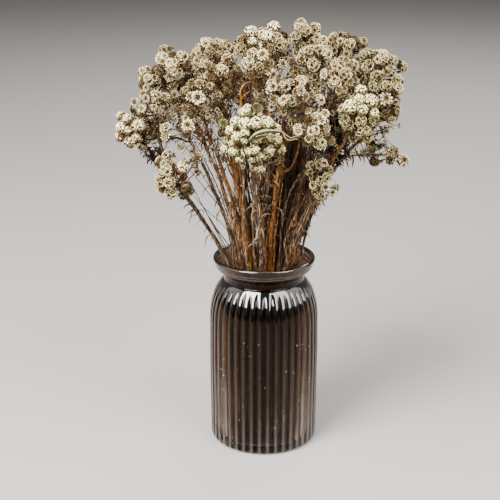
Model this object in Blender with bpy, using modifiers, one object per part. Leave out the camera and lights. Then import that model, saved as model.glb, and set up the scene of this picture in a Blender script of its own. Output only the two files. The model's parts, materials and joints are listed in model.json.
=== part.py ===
"""A bunch of dried everlasting daisies standing in a ribbed glass vase.

Metres, +Z up. The origin is the centre of the vase's underside, and -Y is the front.
Each stem stands on the vase's floor, leans out through the neck and carries one or two
flower clusters; the second one sits on a side branch. Clusters, stems and leaves that
touch keep SEAT_GAP of air between them.
"""

import math
from itertools import combinations

import bmesh
import bpy
from mathutils import Matrix, Vector
from mathutils.bvhtree import BVHTree

MM = 0.001
SEAT_GAP = 0.3 * MM

# Vase: radii and heights of the turned glass, before its ribs are pressed in.
VASE_HEIGHT = 195 * MM
BODY_RADIUS = 55 * MM
FOOT_RADIUS = 54.4 * MM
SHOULDER_RADIUS = 54.6 * MM
NECK_RADIUS = 40.5 * MM
BASE_CORNER = 5 * MM
BELLY_Z = 95 * MM
SHOULDER_Z = 125 * MM
SHOULDER_FULLNESS = 2.5
SHOULDER_TUCK = 0.8
NECK_Z = 172 * MM
COLLAR_Z = 176 * MM
COLLAR_CURL = 1.6
WALL = 3.5 * MM
LIP_RADIUS = 2 * MM
LIP_CENTRE = 48.8 * MM
FLOOR_Z = 8 * MM
RIB_COUNT = 38
RIB_DEPTH = 1.3 * MM

# Stems: how the bunch stands in the vase.
STEM_FOOT_RADIUS = 2.3 * MM
STEM_TIP_RADIUS = 1.5 * MM
BRANCH_RADIUS = 1.4 * MM
BRANCH_TIP_RADIUS = 1.1 * MM
TUBE_RESOLUTION = 1
NECK_SPREAD = 32.5 * MM
NECK_LEAN = 0.5
STEM_SPACING = 7.5 * MM
FOOT_SPREAD = 0.8
BUNCH_TWIST = math.radians(22)
WIDEST_LEAN = 0.85
OUTWARD_AIM = 0.25
DROOP_AIM = Vector((0.3, 0, -1)).normalized()
POINT_STEP = 15 * MM
STEPS_IN_VASE = 6
FORK_LENGTH = 45 * MM
FORK_BEND = 0.6

# Flower clusters: size of the round lobes, how deep the dips between them are, how far
# out from the centre the stem's tip seats, and how finely the solid is divided.
LOBE_RADIUS = 9 * MM
LOBE_DEPTH = 0.13
LOBE_TURN = 0.7
CLUSTER_SEAT = 0.72
CLUSTER_MERIDIANS = 12
CLUSTER_PARALLELS = 8

# One line for each stem, going round the bunch from the front left. Each cluster on it is
# (x, y, z, half width, half depth, half height) in millimetres.
STEMS = [
    [(-125, -10, 323, 18, 19, 18), (-109, -12, 347, 14, 17, 14)],
    [(-87, 0, 385, 19, 24, 15), (-108, 2, 370, 15, 20, 14)],
    [(-50, -8, 393, 19, 22, 16), (-39, -50, 383, 20, 18, 15)],
    [(-62, -72, 368, 19, 18, 17), (-73, -82, 343, 14, 13, 13)],
    [(-87, -45, 286, 20, 19, 21)],
    [(-16, 0, 402, 14, 20, 18)],
    [(9, -5, 406, 14, 20, 16), (-5, -62, 391, 18, 18, 17)],
    [(36, 0, 408, 16, 20, 16), (45, -42, 392, 17, 16, 15)],
    [(75, 0, 401, 20, 22, 14)],
    [(104, -5, 385, 22, 22, 15), (112, -28, 366, 19, 16, 13)],
    [(67, -52, 378, 19, 18, 19)],
    [(116, -15, 344, 16, 17, 17), (128, -10, 300, 10, 9, 9)],
    [(83, -62, 350, 21, 19, 24)],
    [(18, -84, 372, 26, 17, 16), (42, -86, 342, 19, 18, 18)],
    [(-11, -99, 336, 28, 26, 25)],
    [(52, -50, 288, 15, 16, 19)],
    [(-98, 48, 352, 26, 28, 24), (-118, 28, 314, 17, 20, 18)],
    [(-50, 60, 380, 28, 28, 21), (-70, 90, 337, 26, 24, 24)],
    [(0, 58, 390, 28, 28, 21), (-18, 102, 347, 29, 24, 26)],
    [(52, 58, 384, 28, 28, 21), (38, 104, 340, 28, 24, 26)],
    [(97, 46, 364, 26, 28, 23), (84, 87, 324, 26, 24, 24)],
]

# The woolly green leaf: it springs from the front of one stem's cluster, bows up and over
# to the right, and its tip stands clear.
LEAF_STEM = 14
LEAF_WIDTH = 4.5 * MM
LEAF_THICKNESS = 0.7 * MM
LEAF_CLEARANCE = 1.2 * MM
LEAF_FROM = math.radians(-12)
LEAF_TO = math.radians(76)
LEAF_RISE = 0.35
LEAF_LIFT = 9 * MM
LEAF_STEPS = 9


def clear_scene():
    for obj in list(bpy.data.objects):
        bpy.data.objects.remove(obj)


def new_collection(name):
    collection = bpy.data.collections.new(name)
    bpy.context.scene.collection.children.link(collection)
    return collection


def material(name, colour, roughness, transmission=0.0):
    made = bpy.data.materials.new(name)
    made.use_nodes = True
    shader = made.node_tree.nodes["Principled BSDF"]
    shader.inputs["Base Color"].default_value = (*colour, 1)
    shader.inputs["Roughness"].default_value = roughness
    shader.inputs["Metallic"].default_value = 0
    shader.inputs["Transmission Weight"].default_value = transmission
    return made


def add_mesh(name, mesh, finish, collection):
    obj = bpy.data.objects.new(name, mesh)
    mesh.materials.clear()
    mesh.materials.append(finish)
    collection.objects.link(obj)
    return obj


def evaluated_mesh(obj):
    """The object's mesh with its modifiers or its bevel, on its own."""
    bpy.context.view_layer.update()
    graph = bpy.context.evaluated_depsgraph_get()
    return bpy.data.meshes.new_from_object(obj.evaluated_get(graph))


# ---------------------------------------------------------------- vase


def shoulder(outer, inner, steps):
    """The shoulder's full, round rise from radius outer, then its tuck in to radius inner."""
    points = []
    for i in range(steps + 1):
        rise = math.sin(math.pi / 2 * i / steps)
        radius = inner + (outer - inner) * (1 - rise**SHOULDER_FULLNESS) ** SHOULDER_TUCK
        points.append((radius, SHOULDER_Z + (NECK_Z - SHOULDER_Z) * rise))
    return points


def flare(neck, mouth, low, high, steps):
    """Collar that curls out from radius neck at height low to radius mouth at height high."""
    shares = [i / steps for i in range(steps + 1)]
    return [
        (neck + (mouth - neck) * s, low + (high - low) * s**COLLAR_CURL) for s in shares
    ]


def round_corner(centre_r, centre_z, radius, start, end, steps):
    turns = [start + (end - start) * i / steps for i in range(steps + 1)]
    return [
        (centre_r + radius * math.cos(t), centre_z + radius * math.sin(t)) for t in turns
    ]


def vase_outline():
    """(radius, height, rib depth) from the floor's middle, over the lip, to the underside's."""
    lip_z = VASE_HEIGHT - LIP_RADIUS
    inner_corner = round_corner(
        FOOT_RADIUS - WALL - BASE_CORNER,
        FLOOR_Z + BASE_CORNER,
        BASE_CORNER,
        -math.pi / 2,
        0,
        2,
    )
    inside = (
        [(0, FLOOR_Z)]
        + inner_corner
        + shoulder(SHOULDER_RADIUS - WALL, NECK_RADIUS - WALL, 4)
        + flare(NECK_RADIUS - WALL, LIP_CENTRE - LIP_RADIUS, COLLAR_Z, lip_z, 2)
    )
    lip = round_corner(LIP_CENTRE, lip_z, LIP_RADIUS, math.pi, 0, 4)[1:-1]
    collar = flare(NECK_RADIUS, LIP_CENTRE + LIP_RADIUS, COLLAR_Z, lip_z, 4)[::-1]
    outer_shoulder = shoulder(SHOULDER_RADIUS, NECK_RADIUS, 6)[::-1]
    corner = round_corner(
        FOOT_RADIUS - BASE_CORNER, BASE_CORNER, BASE_CORNER, 0, -math.pi / 2, 2
    )
    ribbed = outer_shoulder[1:] + [(BODY_RADIUS, BELLY_Z)] + corner[:-1]
    smooth_points = inside + lip + collar + outer_shoulder[:1]
    return (
        [(r, z, 0) for r, z in smooth_points]
        + [(r, z, RIB_DEPTH) for r, z in ribbed]
        + [(*corner[-1], 0), (0, 0, 0)]
    )


def make_vase(collection, helpers):
    """The outline turned about Z, then every second line of its outside pressed inwards."""
    outline = vase_outline()
    profile = bpy.data.meshes.new("vase_outline")
    edges = [(i, i + 1) for i in range(len(outline) - 1)]
    profile.from_pydata([(r, 0, z) for r, z, _ in outline], edges, [])
    depths = profile.attributes.new("rib_depth", "FLOAT", "POINT")
    depths.data.foreach_set("value", [depth for _, _, depth in outline])
    turned = bpy.data.objects.new("turned_vase", profile)
    helpers.objects.link(turned)
    screw = turned.modifiers.new("turn", "SCREW")
    screw.steps = screw.render_steps = 2 * RIB_COUNT
    screw.use_merge_vertices = True
    screw.merge_threshold = 0.01 * MM
    mesh = evaluated_mesh(turned)
    bpy.data.objects.remove(turned)
    pitch = math.pi / RIB_COUNT
    for vertex, depth in zip(mesh.vertices, mesh.attributes["rib_depth"].data):
        line = round(math.atan2(vertex.co.y, vertex.co.x) / pitch)
        if depth.value > 0 and line % 2:
            radius = math.hypot(vertex.co.x, vertex.co.y)
            vertex.co.xy *= 1 - depth.value / radius
    mesh.name = "vase"
    glass = material("smoked_glass", (0.16, 0.12, 0.10), 0.05, 0.9)
    return add_mesh("vase", mesh, glass, collection)


# ---------------------------------------------------------------- where the stems run


def ellipsoid_reach(axes, direction):
    """Distance from an ellipsoid's centre to its surface along a unit direction."""
    return 1 / math.sqrt(sum((d / a) ** 2 for d, a in zip(direction, axes)))


def hermite(start, start_slope, end, end_slope, steps):
    points = []
    for i in range(steps + 1):
        t = i / steps
        points.append(
            start * (2 * t**3 - 3 * t**2 + 1)
            + start_slope * (t**3 - 2 * t**2 + t)
            + end * (3 * t**2 - 2 * t**3)
            + end_slope * (t**3 - t**2)
        )
    return points


def run_to_cluster(start, slope, centre, axes):
    """Points from start, leaving along slope, to the seat in the underside of a cluster.

    A cluster that is lower than start hangs, so its twig arches over and comes down to it.
    """
    chord = (centre - start).normalized()
    if chord.z < 0:
        aim = DROOP_AIM
    else:
        aim = (chord + Vector((chord.x, chord.y, 0)) * OUTWARD_AIM).normalized()
    tip = centre - aim * ellipsoid_reach(axes, aim) * CLUSTER_SEAT
    length = (tip - start).length
    steps = max(3, round(length / POINT_STEP))
    return hermite(start, slope.normalized() * length, tip, aim * length, steps)


def neck_places(aims):
    """Where each stem crosses the neck: the more it leans, the further out, none too close."""
    places = []
    for aim in aims:
        across = Vector((aim.x, aim.y))
        lean = min(1, across.length / (aim.z - NECK_Z) / WIDEST_LEAN)
        places.append(across.normalized() * NECK_SPREAD * lean**0.8)
    for _ in range(400):
        for a, b in combinations(places, 2):
            between = b - a
            short = STEM_SPACING - between.length
            if short > 0:
                push = between.normalized() * short / 2
                a -= push
                b += push
        for place in places:
            if place.length > NECK_SPREAD:
                place *= NECK_SPREAD / place.length
    return places


def stem_runs(place, clusters):
    """The main run of a stem from the vase's floor up, then its side branch if it has one."""
    centre, axes = clusters[0]
    neck = Vector((place.x, place.y, NECK_Z))
    lean = (centre - neck).normalized()
    slope = Vector((lean.x * NECK_LEAN, lean.y * NECK_LEAN, lean.z)).normalized()
    turned = place.copy()
    turned.rotate(Matrix.Rotation(-BUNCH_TWIST, 2))
    foot = Vector((*(turned * FOOT_SPREAD), FLOOR_Z + SEAT_GAP))
    depth = (neck - foot).length
    inside = hermite(foot, Vector((0, 0, depth)), neck, slope * depth, STEPS_IN_VASE)
    main = inside + run_to_cluster(neck, slope, centre, axes)[1:]
    if len(clusters) == 1:
        return [main]
    fork = len(main) - 1 - round(FORK_LENGTH / POINT_STEP)
    along = (main[fork + 1] - main[fork]).normalized()
    away = (clusters[1][0] - main[fork]).normalized()
    return [main, run_to_cluster(main[fork], along + away * FORK_BEND, *clusters[1])]


def run_radii(run, first, last):
    """Radius at each point of a run that thins evenly from first to last."""
    count = len(run) - 1
    return [first + (last - first) * i / count for i in range(len(run))]


def radii_of(runs):
    """Radii of a stem's main run and of its branch."""
    radii = [run_radii(runs[0], STEM_FOOT_RADIUS, STEM_TIP_RADIUS)]
    return radii + [run_radii(run, BRANCH_RADIUS, BRANCH_TIP_RADIUS) for run in runs[1:]]


# ---------------------------------------------------------------- stems


def make_tube(name, points, radii, collection):
    """A round tube through the points with closed ends, as a welded mesh."""
    curve = bpy.data.curves.new(name, "CURVE")
    curve.dimensions = "3D"
    curve.bevel_depth = STEM_FOOT_RADIUS
    curve.bevel_resolution = TUBE_RESOLUTION
    curve.use_fill_caps = True
    spline = curve.splines.new("POLY")
    spline.points.add(len(points) - 1)
    for target, point, radius in zip(spline.points, points, radii):
        target.co = (*point, 1)
        target.radius = radius / STEM_FOOT_RADIUS
    guide = bpy.data.objects.new(name, curve)
    collection.objects.link(guide)
    mesh = evaluated_mesh(guide)
    bpy.data.objects.remove(guide)
    shape = bmesh.new()
    shape.from_mesh(mesh)
    bmesh.ops.remove_doubles(shape, verts=shape.verts, dist=0.001 * MM)
    shape.to_mesh(mesh)
    shape.free()
    return mesh


def make_stem(name, runs, collection, helpers):
    """The main run, with its side branch grown into it."""
    radii = radii_of(runs)
    finish = material(f"{name}_bark", (0.33, 0.20, 0.11), 0.8)
    stem = add_mesh(name, make_tube(name, runs[0], radii[0], helpers), finish, collection)
    if len(runs) > 1:
        mesh = make_tube(f"{name}_branch", runs[1], radii[1], helpers)
        branch = add_mesh(f"{name}_branch", mesh, finish, helpers)
        branch.hide_render = True
        branch.display_type = "WIRE"
        join = stem.modifiers.new("grow_branch", "BOOLEAN")
        join.operation = "UNION"
        join.solver = "EXACT"
        join.object = branch
    return stem


# ---------------------------------------------------------------- flower clusters


def golden_directions(count, turn):
    """Directions spread evenly over a sphere along a spiral that starts at an angle."""
    directions = []
    for i in range(count):
        z = 1 - (2 * i + 1) / count
        flat = math.sqrt(1 - z * z)
        angle = turn + i * math.pi * (3 - math.sqrt(5))
        directions.append(Vector((flat * math.cos(angle), flat * math.sin(angle), z)))
    return directions


def nearest_on_segment(point, start, end):
    along = end - start
    share = (point - start).dot(along) / along.length_squared
    return start + along * min(1, max(0, share))


def planes_to_segments(centre, segments, reach):
    """Planes (normal, distance) that keep a cluster off the tubes that run past it."""
    planes = []
    for start, end, radius in segments:
        between = nearest_on_segment(centre, start, end) - centre
        if between.length < reach + radius:
            planes.append((between.normalized(), between.length - radius - SEAT_GAP))
    return planes


def planes_to_clusters(index, clusters):
    """Planes that share out the room between a cluster and each one near it."""
    centre, axes = clusters[index]
    planes = []
    for other, (other_centre, other_axes) in enumerate(clusters):
        between = other_centre - centre
        if other == index or between.length > max(axes) + max(other_axes):
            continue
        toward = between.normalized()
        own = ellipsoid_reach(axes, toward)
        share = own / (own + ellipsoid_reach(other_axes, toward))
        planes.append((toward, between.length * share - SEAT_GAP / 2))
    return planes


def make_cluster(name, centre, axes, planes, turn, collection):
    """Round lobes on an ellipsoid, cut back to the planes around it."""
    size = (axes[0] * axes[1] * axes[2]) ** (1 / 3)
    count = max(3, round(4 * (size / LOBE_RADIUS) ** 2))
    lobes = golden_directions(count, turn)
    shape = bmesh.new()
    bmesh.ops.create_uvsphere(
        shape, u_segments=CLUSTER_MERIDIANS, v_segments=CLUSTER_PARALLELS, radius=1
    )
    for vertex in shape.verts:
        toward = vertex.co.normalized()
        off = min((toward - lobe).length for lobe in lobes) * size / LOBE_RADIUS
        reach = ellipsoid_reach(axes, toward) * (1 - LOBE_DEPTH * min(1, off) ** 2)
        for normal, distance in planes:
            facing = normal.dot(toward)
            if facing > 0:
                reach = min(reach, distance / facing)
        vertex.co = toward * reach
    mesh = bpy.data.meshes.new(name)
    shape.to_mesh(mesh)
    shape.free()
    mesh.shade_smooth()
    bracts = material(f"{name}_bracts", (0.72, 0.66, 0.54), 0.75)
    cluster = add_mesh(name, mesh, bracts, collection)
    cluster.location = centre
    return cluster


# ---------------------------------------------------------------- leaf


def leaf_line(centre, axes):
    """Points of the leaf's midrib, round the front of a cluster and clear of it."""
    points = []
    for i in range(LEAF_STEPS + 1):
        share = i / LEAF_STEPS
        angle = LEAF_FROM + (LEAF_TO - LEAF_FROM) * share
        rise = LEAF_RISE * math.sin(math.pi * share)
        toward = Vector((math.sin(angle), -math.cos(angle), rise)).normalized()
        clear = LEAF_CLEARANCE + LEAF_LIFT * share**3
        points.append(centre + toward * (ellipsoid_reach(axes, toward) + clear))
    return points


def seat_leaf(line, cluster):
    """Moves the first point of the leaf's midrib in to the cluster's own surface."""
    shape = bmesh.new()
    shape.from_mesh(cluster.data)
    surface = BVHTree.FromBMesh(shape)
    shape.free()
    outward = (line[0] - cluster.location).normalized()
    hit = surface.ray_cast(line[0] - cluster.location, -outward)[0]
    line[0] = cluster.location + hit + outward * (LEAF_THICKNESS + SEAT_GAP)


def make_leaf(name, line, centre, collection):
    """A strip along the midrib, widest near its middle, thickened to a leaf."""
    shape = bmesh.new()
    bmesh.ops.create_grid(shape, x_segments=LEAF_STEPS, y_segments=2, size=1)
    for vertex in shape.verts:
        share = (vertex.co.x + 1) / 2
        here = round(share * LEAF_STEPS)
        before = line[max(0, here - 1)]
        after = line[min(LEAF_STEPS, here + 1)]
        outward = (line[here] - centre).normalized()
        across = (after - before).cross(outward).normalized()
        swell = 0.9 * math.sin(math.pi * share) + 0.1
        vertex.co = line[here] + across * vertex.co.y * swell * LEAF_WIDTH / 2
    mesh = bpy.data.meshes.new(name)
    shape.to_mesh(mesh)
    shape.free()
    leaf = add_mesh(name, mesh, material("leaf_green", (0.52, 0.58, 0.36), 0.7), collection)
    thicken = leaf.modifiers.new("thickness", "SOLIDIFY")
    thicken.thickness = LEAF_THICKNESS
    thicken.offset = 0
    return leaf


# ---------------------------------------------------------------- the whole bunch


def make_bunch(collection, helpers):
    stems = [
        [(Vector(row[:3]) * MM, Vector(row[3:]) * MM) for row in stem] for stem in STEMS
    ]
    places = neck_places([clusters[0][0] for clusters in stems])
    bunch = [stem_runs(place, clusters) for place, clusters in zip(places, stems)]
    midrib = leaf_line(*stems[LEAF_STEM][0])
    leaf_segments = [(*ends, LEAF_WIDTH / 2) for ends in zip(midrib, midrib[1:])]

    clusters = []
    tips = []
    segments = []
    for stem_clusters, runs in zip(stems, bunch):
        for cluster, run, radii in zip(stem_clusters, runs, radii_of(runs)):
            segments += zip(run, run[1:], radii)
            clusters.append(cluster)
            tips.append((run[-1], len(segments) - 1))

    for number, runs in enumerate(bunch, 1):
        make_stem(f"stem_{number:02d}", runs, collection, helpers)
    for index, ((centre, axes), (tip, last)) in enumerate(zip(clusters, tips)):
        with_leaf = clusters[index] is stems[LEAF_STEM][0]
        passing = segments[:last] + segments[last + 1 :]
        if not with_leaf:
            passing += leaf_segments
        to_tip = tip - centre
        planes = [(to_tip.normalized(), to_tip.length - SEAT_GAP)]
        planes += planes_to_segments(centre, passing, max(axes))
        planes += planes_to_clusters(index, clusters)
        name = f"flower_cluster_{index + 1:02d}"
        made = make_cluster(name, centre, axes, planes, index * LOBE_TURN, collection)
        if with_leaf:
            seat_leaf(midrib, made)
            make_leaf("green_leaf", midrib, centre, collection)


def main():
    clear_scene()
    collection = new_collection("daisy_bunch_in_vase")
    helpers = new_collection("cutters")
    make_vase(collection, helpers)
    make_bunch(collection, helpers)


main()
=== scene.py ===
"""Looks of a bunch of dried everlasting daisies standing in a ribbed, smoked-glass vase."""

import json
import math

import bmesh
import bpy
import numpy as np
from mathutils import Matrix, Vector
from mathutils.bvhtree import BVHTree


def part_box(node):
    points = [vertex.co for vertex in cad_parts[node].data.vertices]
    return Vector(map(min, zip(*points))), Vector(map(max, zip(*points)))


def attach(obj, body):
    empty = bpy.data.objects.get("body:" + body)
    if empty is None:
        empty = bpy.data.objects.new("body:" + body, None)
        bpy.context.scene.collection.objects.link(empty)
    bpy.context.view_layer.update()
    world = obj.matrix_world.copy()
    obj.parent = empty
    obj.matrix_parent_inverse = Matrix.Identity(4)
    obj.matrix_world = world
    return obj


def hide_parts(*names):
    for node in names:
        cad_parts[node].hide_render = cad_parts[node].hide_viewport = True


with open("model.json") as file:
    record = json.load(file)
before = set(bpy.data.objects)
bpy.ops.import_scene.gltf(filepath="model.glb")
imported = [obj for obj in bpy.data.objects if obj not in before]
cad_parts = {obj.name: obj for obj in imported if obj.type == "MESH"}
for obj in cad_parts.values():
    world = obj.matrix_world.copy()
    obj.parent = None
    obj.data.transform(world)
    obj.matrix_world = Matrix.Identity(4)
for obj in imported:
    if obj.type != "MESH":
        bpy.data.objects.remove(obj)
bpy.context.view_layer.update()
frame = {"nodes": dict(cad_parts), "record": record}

# ------------------------------------------------------------------------- glass vase
# One piece of pressed glass, smoked brown-grey. Upright ribs run from the bottom edge to
# the shoulder, the neck is pinched, and the collar curls out to a rounded lip. Its wall is
# thin above a thick base, and the inside follows the ribs a little.

VASE_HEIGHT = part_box("vase")[1].z
BODY_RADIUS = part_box("vase")[1].x
SHOULDER_RADIUS = 0.0546
FOOT_RADIUS = 0.0544
NECK_RADIUS = 0.0405
SHOULDER_Z = 0.125
NECK_Z = 0.172
COLLAR_Z = 0.176
BELLY_Z = 0.095
LIP_CENTRE = 0.0483
COLLAR_CURL = (
    # share of the height, and share of the way from the neck's radius to the lip's
    (0.0, 0.0), (0.08, 0.02), (0.17, 0.10), (0.27, 0.26), (0.37, 0.44), (0.47, 0.58), (0.60, 0.71),
    (0.75, 0.83), (0.88, 0.92), (1.0, 1.0)
)
SEAM_HEIGHTS = (0.1868, 0.1838)
SEAM_WIDTH = 0.0007
SEAM_RISE = 0.0008
SEAM_SHADE = 0.0008
SEAM_GLINT = 0.7
SEAM_GLINT_WIDTH = 0.0005
LIP_RADIUS = 0.0025
LIP_Z = VASE_HEIGHT - 2 * LIP_RADIUS
SHOULDER_FULLNESS = 2.5
SHOULDER_TUCK = 0.8
NECK_CREASE = 0.0005
GLASS_WALL = 0.0035
GLASS_FLOOR = 0.008
BASE_CORNER = 0.005
BASE_RING_RADIUS = 0.044
PUNT_RADIUS = 0.040
PUNT_HEIGHT = 0.0015
NEAR_AXIS = 0.0001
RIBS = 42
COLUMNS_PER_RIB = 10
RIB_DEPTH = 0.0015
RIB_SHARPNESS = 1.4
RIBS_END_BELOW_NECK = 0.001
RIBS_FADE_TOP = 0.011
RIBS_FADE_FOOT = 0.003
UNRIBBED_WITHIN = 0.03
INSIDE_RIPPLE = 0.0003
LUSTRE_SHIFT = 0.22
LUSTRE_SOFTNESS = 0.24
LUSTRE_EDGE = ((0.140, 0.74), (0.158, 0.30))
LUSTRE_BY_HEIGHT = (
    # height, and how strongly the flank of a rib shines there
    (0.0, 1.0), (0.012, 0.95), (0.030, 0.62), (0.060, 0.26), (0.130, 0.18), (0.146, 0.10),
    (0.155, 1.0), (0.175, 1.0)
)
PLAIN_LUSTRE_BY_HEIGHT = (
    # the same for the glass above the ribs
    (0.1665, 1.0), (0.1715, 1.0), (0.1722, 0.0), (0.182, 0.02), (0.1845, 0.10), (0.190, 0.04),
    (0.1935, 0.30)
)
PAINTED_RIB_LIGHT_BY_HEIGHT = (
    # height, and how strongly the painted light on each rib's lit flank and the painted shade in its groove
    # show there
    (0.0, 0.30), (0.022, 0.48), (0.045, 0.78), (0.075, 1.0), (0.110, 0.9), (0.130, 0.6), (0.150, 0.25),
    (0.172, 0.25)
)


def mesh_object(name, points, triangles, surface):
    """An object made from an array of points and an array of triangles."""
    mesh = bpy.data.meshes.new(name)
    mesh.vertices.add(len(points))
    mesh.vertices.foreach_set("co", np.asarray(points, dtype=np.float32).ravel())
    mesh.loops.add(3 * len(triangles))
    mesh.loops.foreach_set("vertex_index", np.asarray(triangles, dtype=np.int32).ravel())
    mesh.polygons.add(len(triangles))
    mesh.polygons.foreach_set("loop_start", np.arange(0, 3 * len(triangles), 3, dtype=np.int32))
    mesh.update(calc_edges=True)
    mesh.validate()
    mesh.materials.append(surface)
    mesh.shade_smooth()
    made = bpy.data.objects.new(name, mesh)
    bpy.context.scene.collection.objects.link(made)
    return made


def grid_triangles(rows, columns):
    """Triangles of a sheet of rows that each close on themselves after so many columns."""
    row, column = np.meshgrid(np.arange(rows - 1), np.arange(columns), indexing="ij")
    here = (row * columns + column).ravel()
    beside = (row * columns + (column + 1) % columns).ravel()
    above = here + columns
    above_beside = beside + columns
    one = np.stack([here, beside, above_beside], axis=1)
    two = np.stack([here, above_beside, above], axis=1)
    return np.concatenate([one, two])


def shoulder_line(outer, inner, rows):
    """The full, round shoulder and its tuck in to the neck, from the neck downwards."""
    rise = np.sin(np.linspace(math.pi / 2, 0, rows))
    radius = inner + (outer - inner) * (1 - rise**SHOULDER_FULLNESS) ** SHOULDER_TUCK
    return [(r, SHOULDER_Z + (NECK_Z - SHOULDER_Z) * s) for r, s in zip(radius, rise)]


def collar_line(neck, mouth, rows, seam):
    """The collar's outward curl, from under the lip down to the neck, with two fine seams."""
    rise = np.linspace(1, 0, rows)
    heights = COLLAR_Z + (VASE_HEIGHT - LIP_RADIUS - COLLAR_Z) * rise
    radius = neck + (mouth - neck) * np.interp(rise, *zip(*COLLAR_CURL))
    for seam_z in SEAM_HEIGHTS:
        radius = radius + seam * np.exp(-(((heights - seam_z) / SEAM_WIDTH) ** 2))
    return list(zip(radius, heights))


def turn_line(centre_r, centre_z, radius, start, end, rows):
    """An arc of the outline, by its centre, radius and first and last angle in degrees."""
    turns = np.radians(np.linspace(start, end, rows))
    return [(centre_r + radius * math.cos(t), centre_z + radius * math.sin(t)) for t in turns]


def belly_line(shoulder, belly, foot, top, bottom, rows):
    """The body's slight swell between the shoulder and the bottom corner."""
    heights = np.linspace(top, bottom, rows)
    radius = np.interp(heights, [bottom, BELLY_Z, top], [foot, belly, shoulder])
    return list(zip(radius, heights))[1:-1]


outside = (
    turn_line(LIP_CENTRE, VASE_HEIGHT - LIP_RADIUS, LIP_RADIUS, 180, -60, 13)
    + collar_line(NECK_RADIUS, LIP_CENTRE + LIP_RADIUS, 36, SEAM_RISE)[1:]
    + [(NECK_RADIUS, NECK_Z + NECK_CREASE)]
    + shoulder_line(SHOULDER_RADIUS, NECK_RADIUS, 22)
    + belly_line(SHOULDER_RADIUS, BODY_RADIUS, FOOT_RADIUS, SHOULDER_Z, BASE_CORNER, 12)
    + turn_line(FOOT_RADIUS - BASE_CORNER, BASE_CORNER, BASE_CORNER, 0, -90, 7)
    + [(BASE_RING_RADIUS, 0), (PUNT_RADIUS, PUNT_HEIGHT), (NEAR_AXIS, PUNT_HEIGHT)]
)
inner_neck = NECK_RADIUS - GLASS_WALL
inner_shoulder = SHOULDER_RADIUS - GLASS_WALL
inner_belly = BODY_RADIUS - GLASS_WALL
inner_foot = FOOT_RADIUS - GLASS_WALL
corner_z = GLASS_FLOOR + BASE_CORNER
inside = (
    collar_line(inner_neck, LIP_CENTRE - LIP_RADIUS, 12, 0)
    + shoulder_line(inner_shoulder, inner_neck, 14)
    + belly_line(inner_shoulder, inner_belly, inner_foot, SHOULDER_Z, corner_z, 8)
    + turn_line(inner_foot - BASE_CORNER, corner_z, BASE_CORNER, 0, -90, 5)
    + [(NEAR_AXIS, GLASS_FLOOR)]
)
outline = np.array(outside[:0:-1] + inside)
outline_z = outline[:, 1]
is_outside = np.arange(len(outline)) < len(outside) - 1
ribbed = np.clip((NECK_Z - RIBS_END_BELOW_NECK - outline_z) / RIBS_FADE_TOP, 0, 1)
ribbed = ribbed * np.clip(outline_z / RIBS_FADE_FOOT, 0, 1)
ribbed = ribbed**2 * (3 - 2 * ribbed) * (outline[:, 0] > UNRIBBED_WITHIN)
columns = RIBS * COLUMNS_PER_RIB
around = np.arange(columns) * 2 * math.pi / columns
groove = (1 - np.abs(np.cos(around * RIBS / 2))) ** RIB_SHARPNESS
ripple = 0.5 - 0.5 * np.cos(around * RIBS)
cut = np.where(
    is_outside[:, None],
    RIB_DEPTH * ribbed[:, None] * groove[None, :],
    INSIDE_RIPPLE * ribbed[:, None] * ripple[None, :],
)
lit_side = np.abs(np.cos(around * RIBS / 2 + LUSTRE_SHIFT))
lustre_edge = np.interp(outline_z, *zip(*LUSTRE_EDGE))
lit_flank = np.clip((lit_side[None, :] - lustre_edge[:, None]) / LUSTRE_SOFTNESS, 0, 1)
lustre_up = np.interp(outline_z, *zip(*LUSTRE_BY_HEIGHT))
lustre = np.where(is_outside, ribbed * lustre_up, 0)[:, None] * lit_flank
plain_lustre = np.interp(outline_z, *zip(*PLAIN_LUSTRE_BY_HEIGHT))
for seam_z in SEAM_HEIGHTS:
    plain_lustre = plain_lustre * (1 - np.exp(-(((outline_z - seam_z) / SEAM_SHADE) ** 2)))
    above = outline_z - seam_z - SEAM_GLINT_WIDTH
    plain_lustre = plain_lustre + SEAM_GLINT * np.exp(-((above / SEAM_GLINT_WIDTH) ** 2))
lustre = lustre + np.where(is_outside, (1 - ribbed) * plain_lustre, 0)[:, None]
radius = outline[:, :1] - cut
vase_points = np.stack(
    [radius * np.cos(around), radius * np.sin(around), outline[:, 1:] + 0 * radius], axis=2
)


def add_node(tree, kind, inputs=None, **settings):
    """A new node with its settings and its plain input values set."""
    made = tree.nodes.new(kind)
    for name, value in settings.items():
        setattr(made, name, value)
    for name, value in (inputs or {}).items():
        made.inputs[name].default_value = value
    return made


def new_material(name, **plain):
    """A material and its Principled shader, with plain values on the shader's sockets."""
    made = bpy.data.materials.new(name)
    made.use_nodes = True
    shader = made.node_tree.nodes["Principled BSDF"]
    for socket, value in plain.items():
        shader.inputs[socket.replace("_", " ")].default_value = value
    return made, made.node_tree, shader


def ramp(tree, factor, stops):
    """A colour ramp on a value, with stops of (position, colour)."""
    made = tree.nodes.new("ShaderNodeValToRGB")
    elements = made.color_ramp.elements
    elements.remove(elements[1])
    elements[0].position = stops[0][0]
    elements[0].color = (*stops[0][1], 1)
    for position, colour in stops[1:]:
        elements.new(position).color = (*colour, 1)
    tree.links.new(factor, made.inputs["Fac"])
    return made.outputs["Color"]


def mix_colours(tree, blend, factor, first, second):
    """Colour first mixed with second; the factor may be a number or a socket."""
    made = add_node(tree, "ShaderNodeMix", data_type="RGBA", blend_type=blend)
    for socket, value in ((0, factor), (6, first), (7, second)):
        if isinstance(value, bpy.types.NodeSocket):
            tree.links.new(value, made.inputs[socket])
        else:
            made.inputs[socket].default_value = value if socket == 0 else (*value, 1)
    return made.outputs[2]


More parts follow.
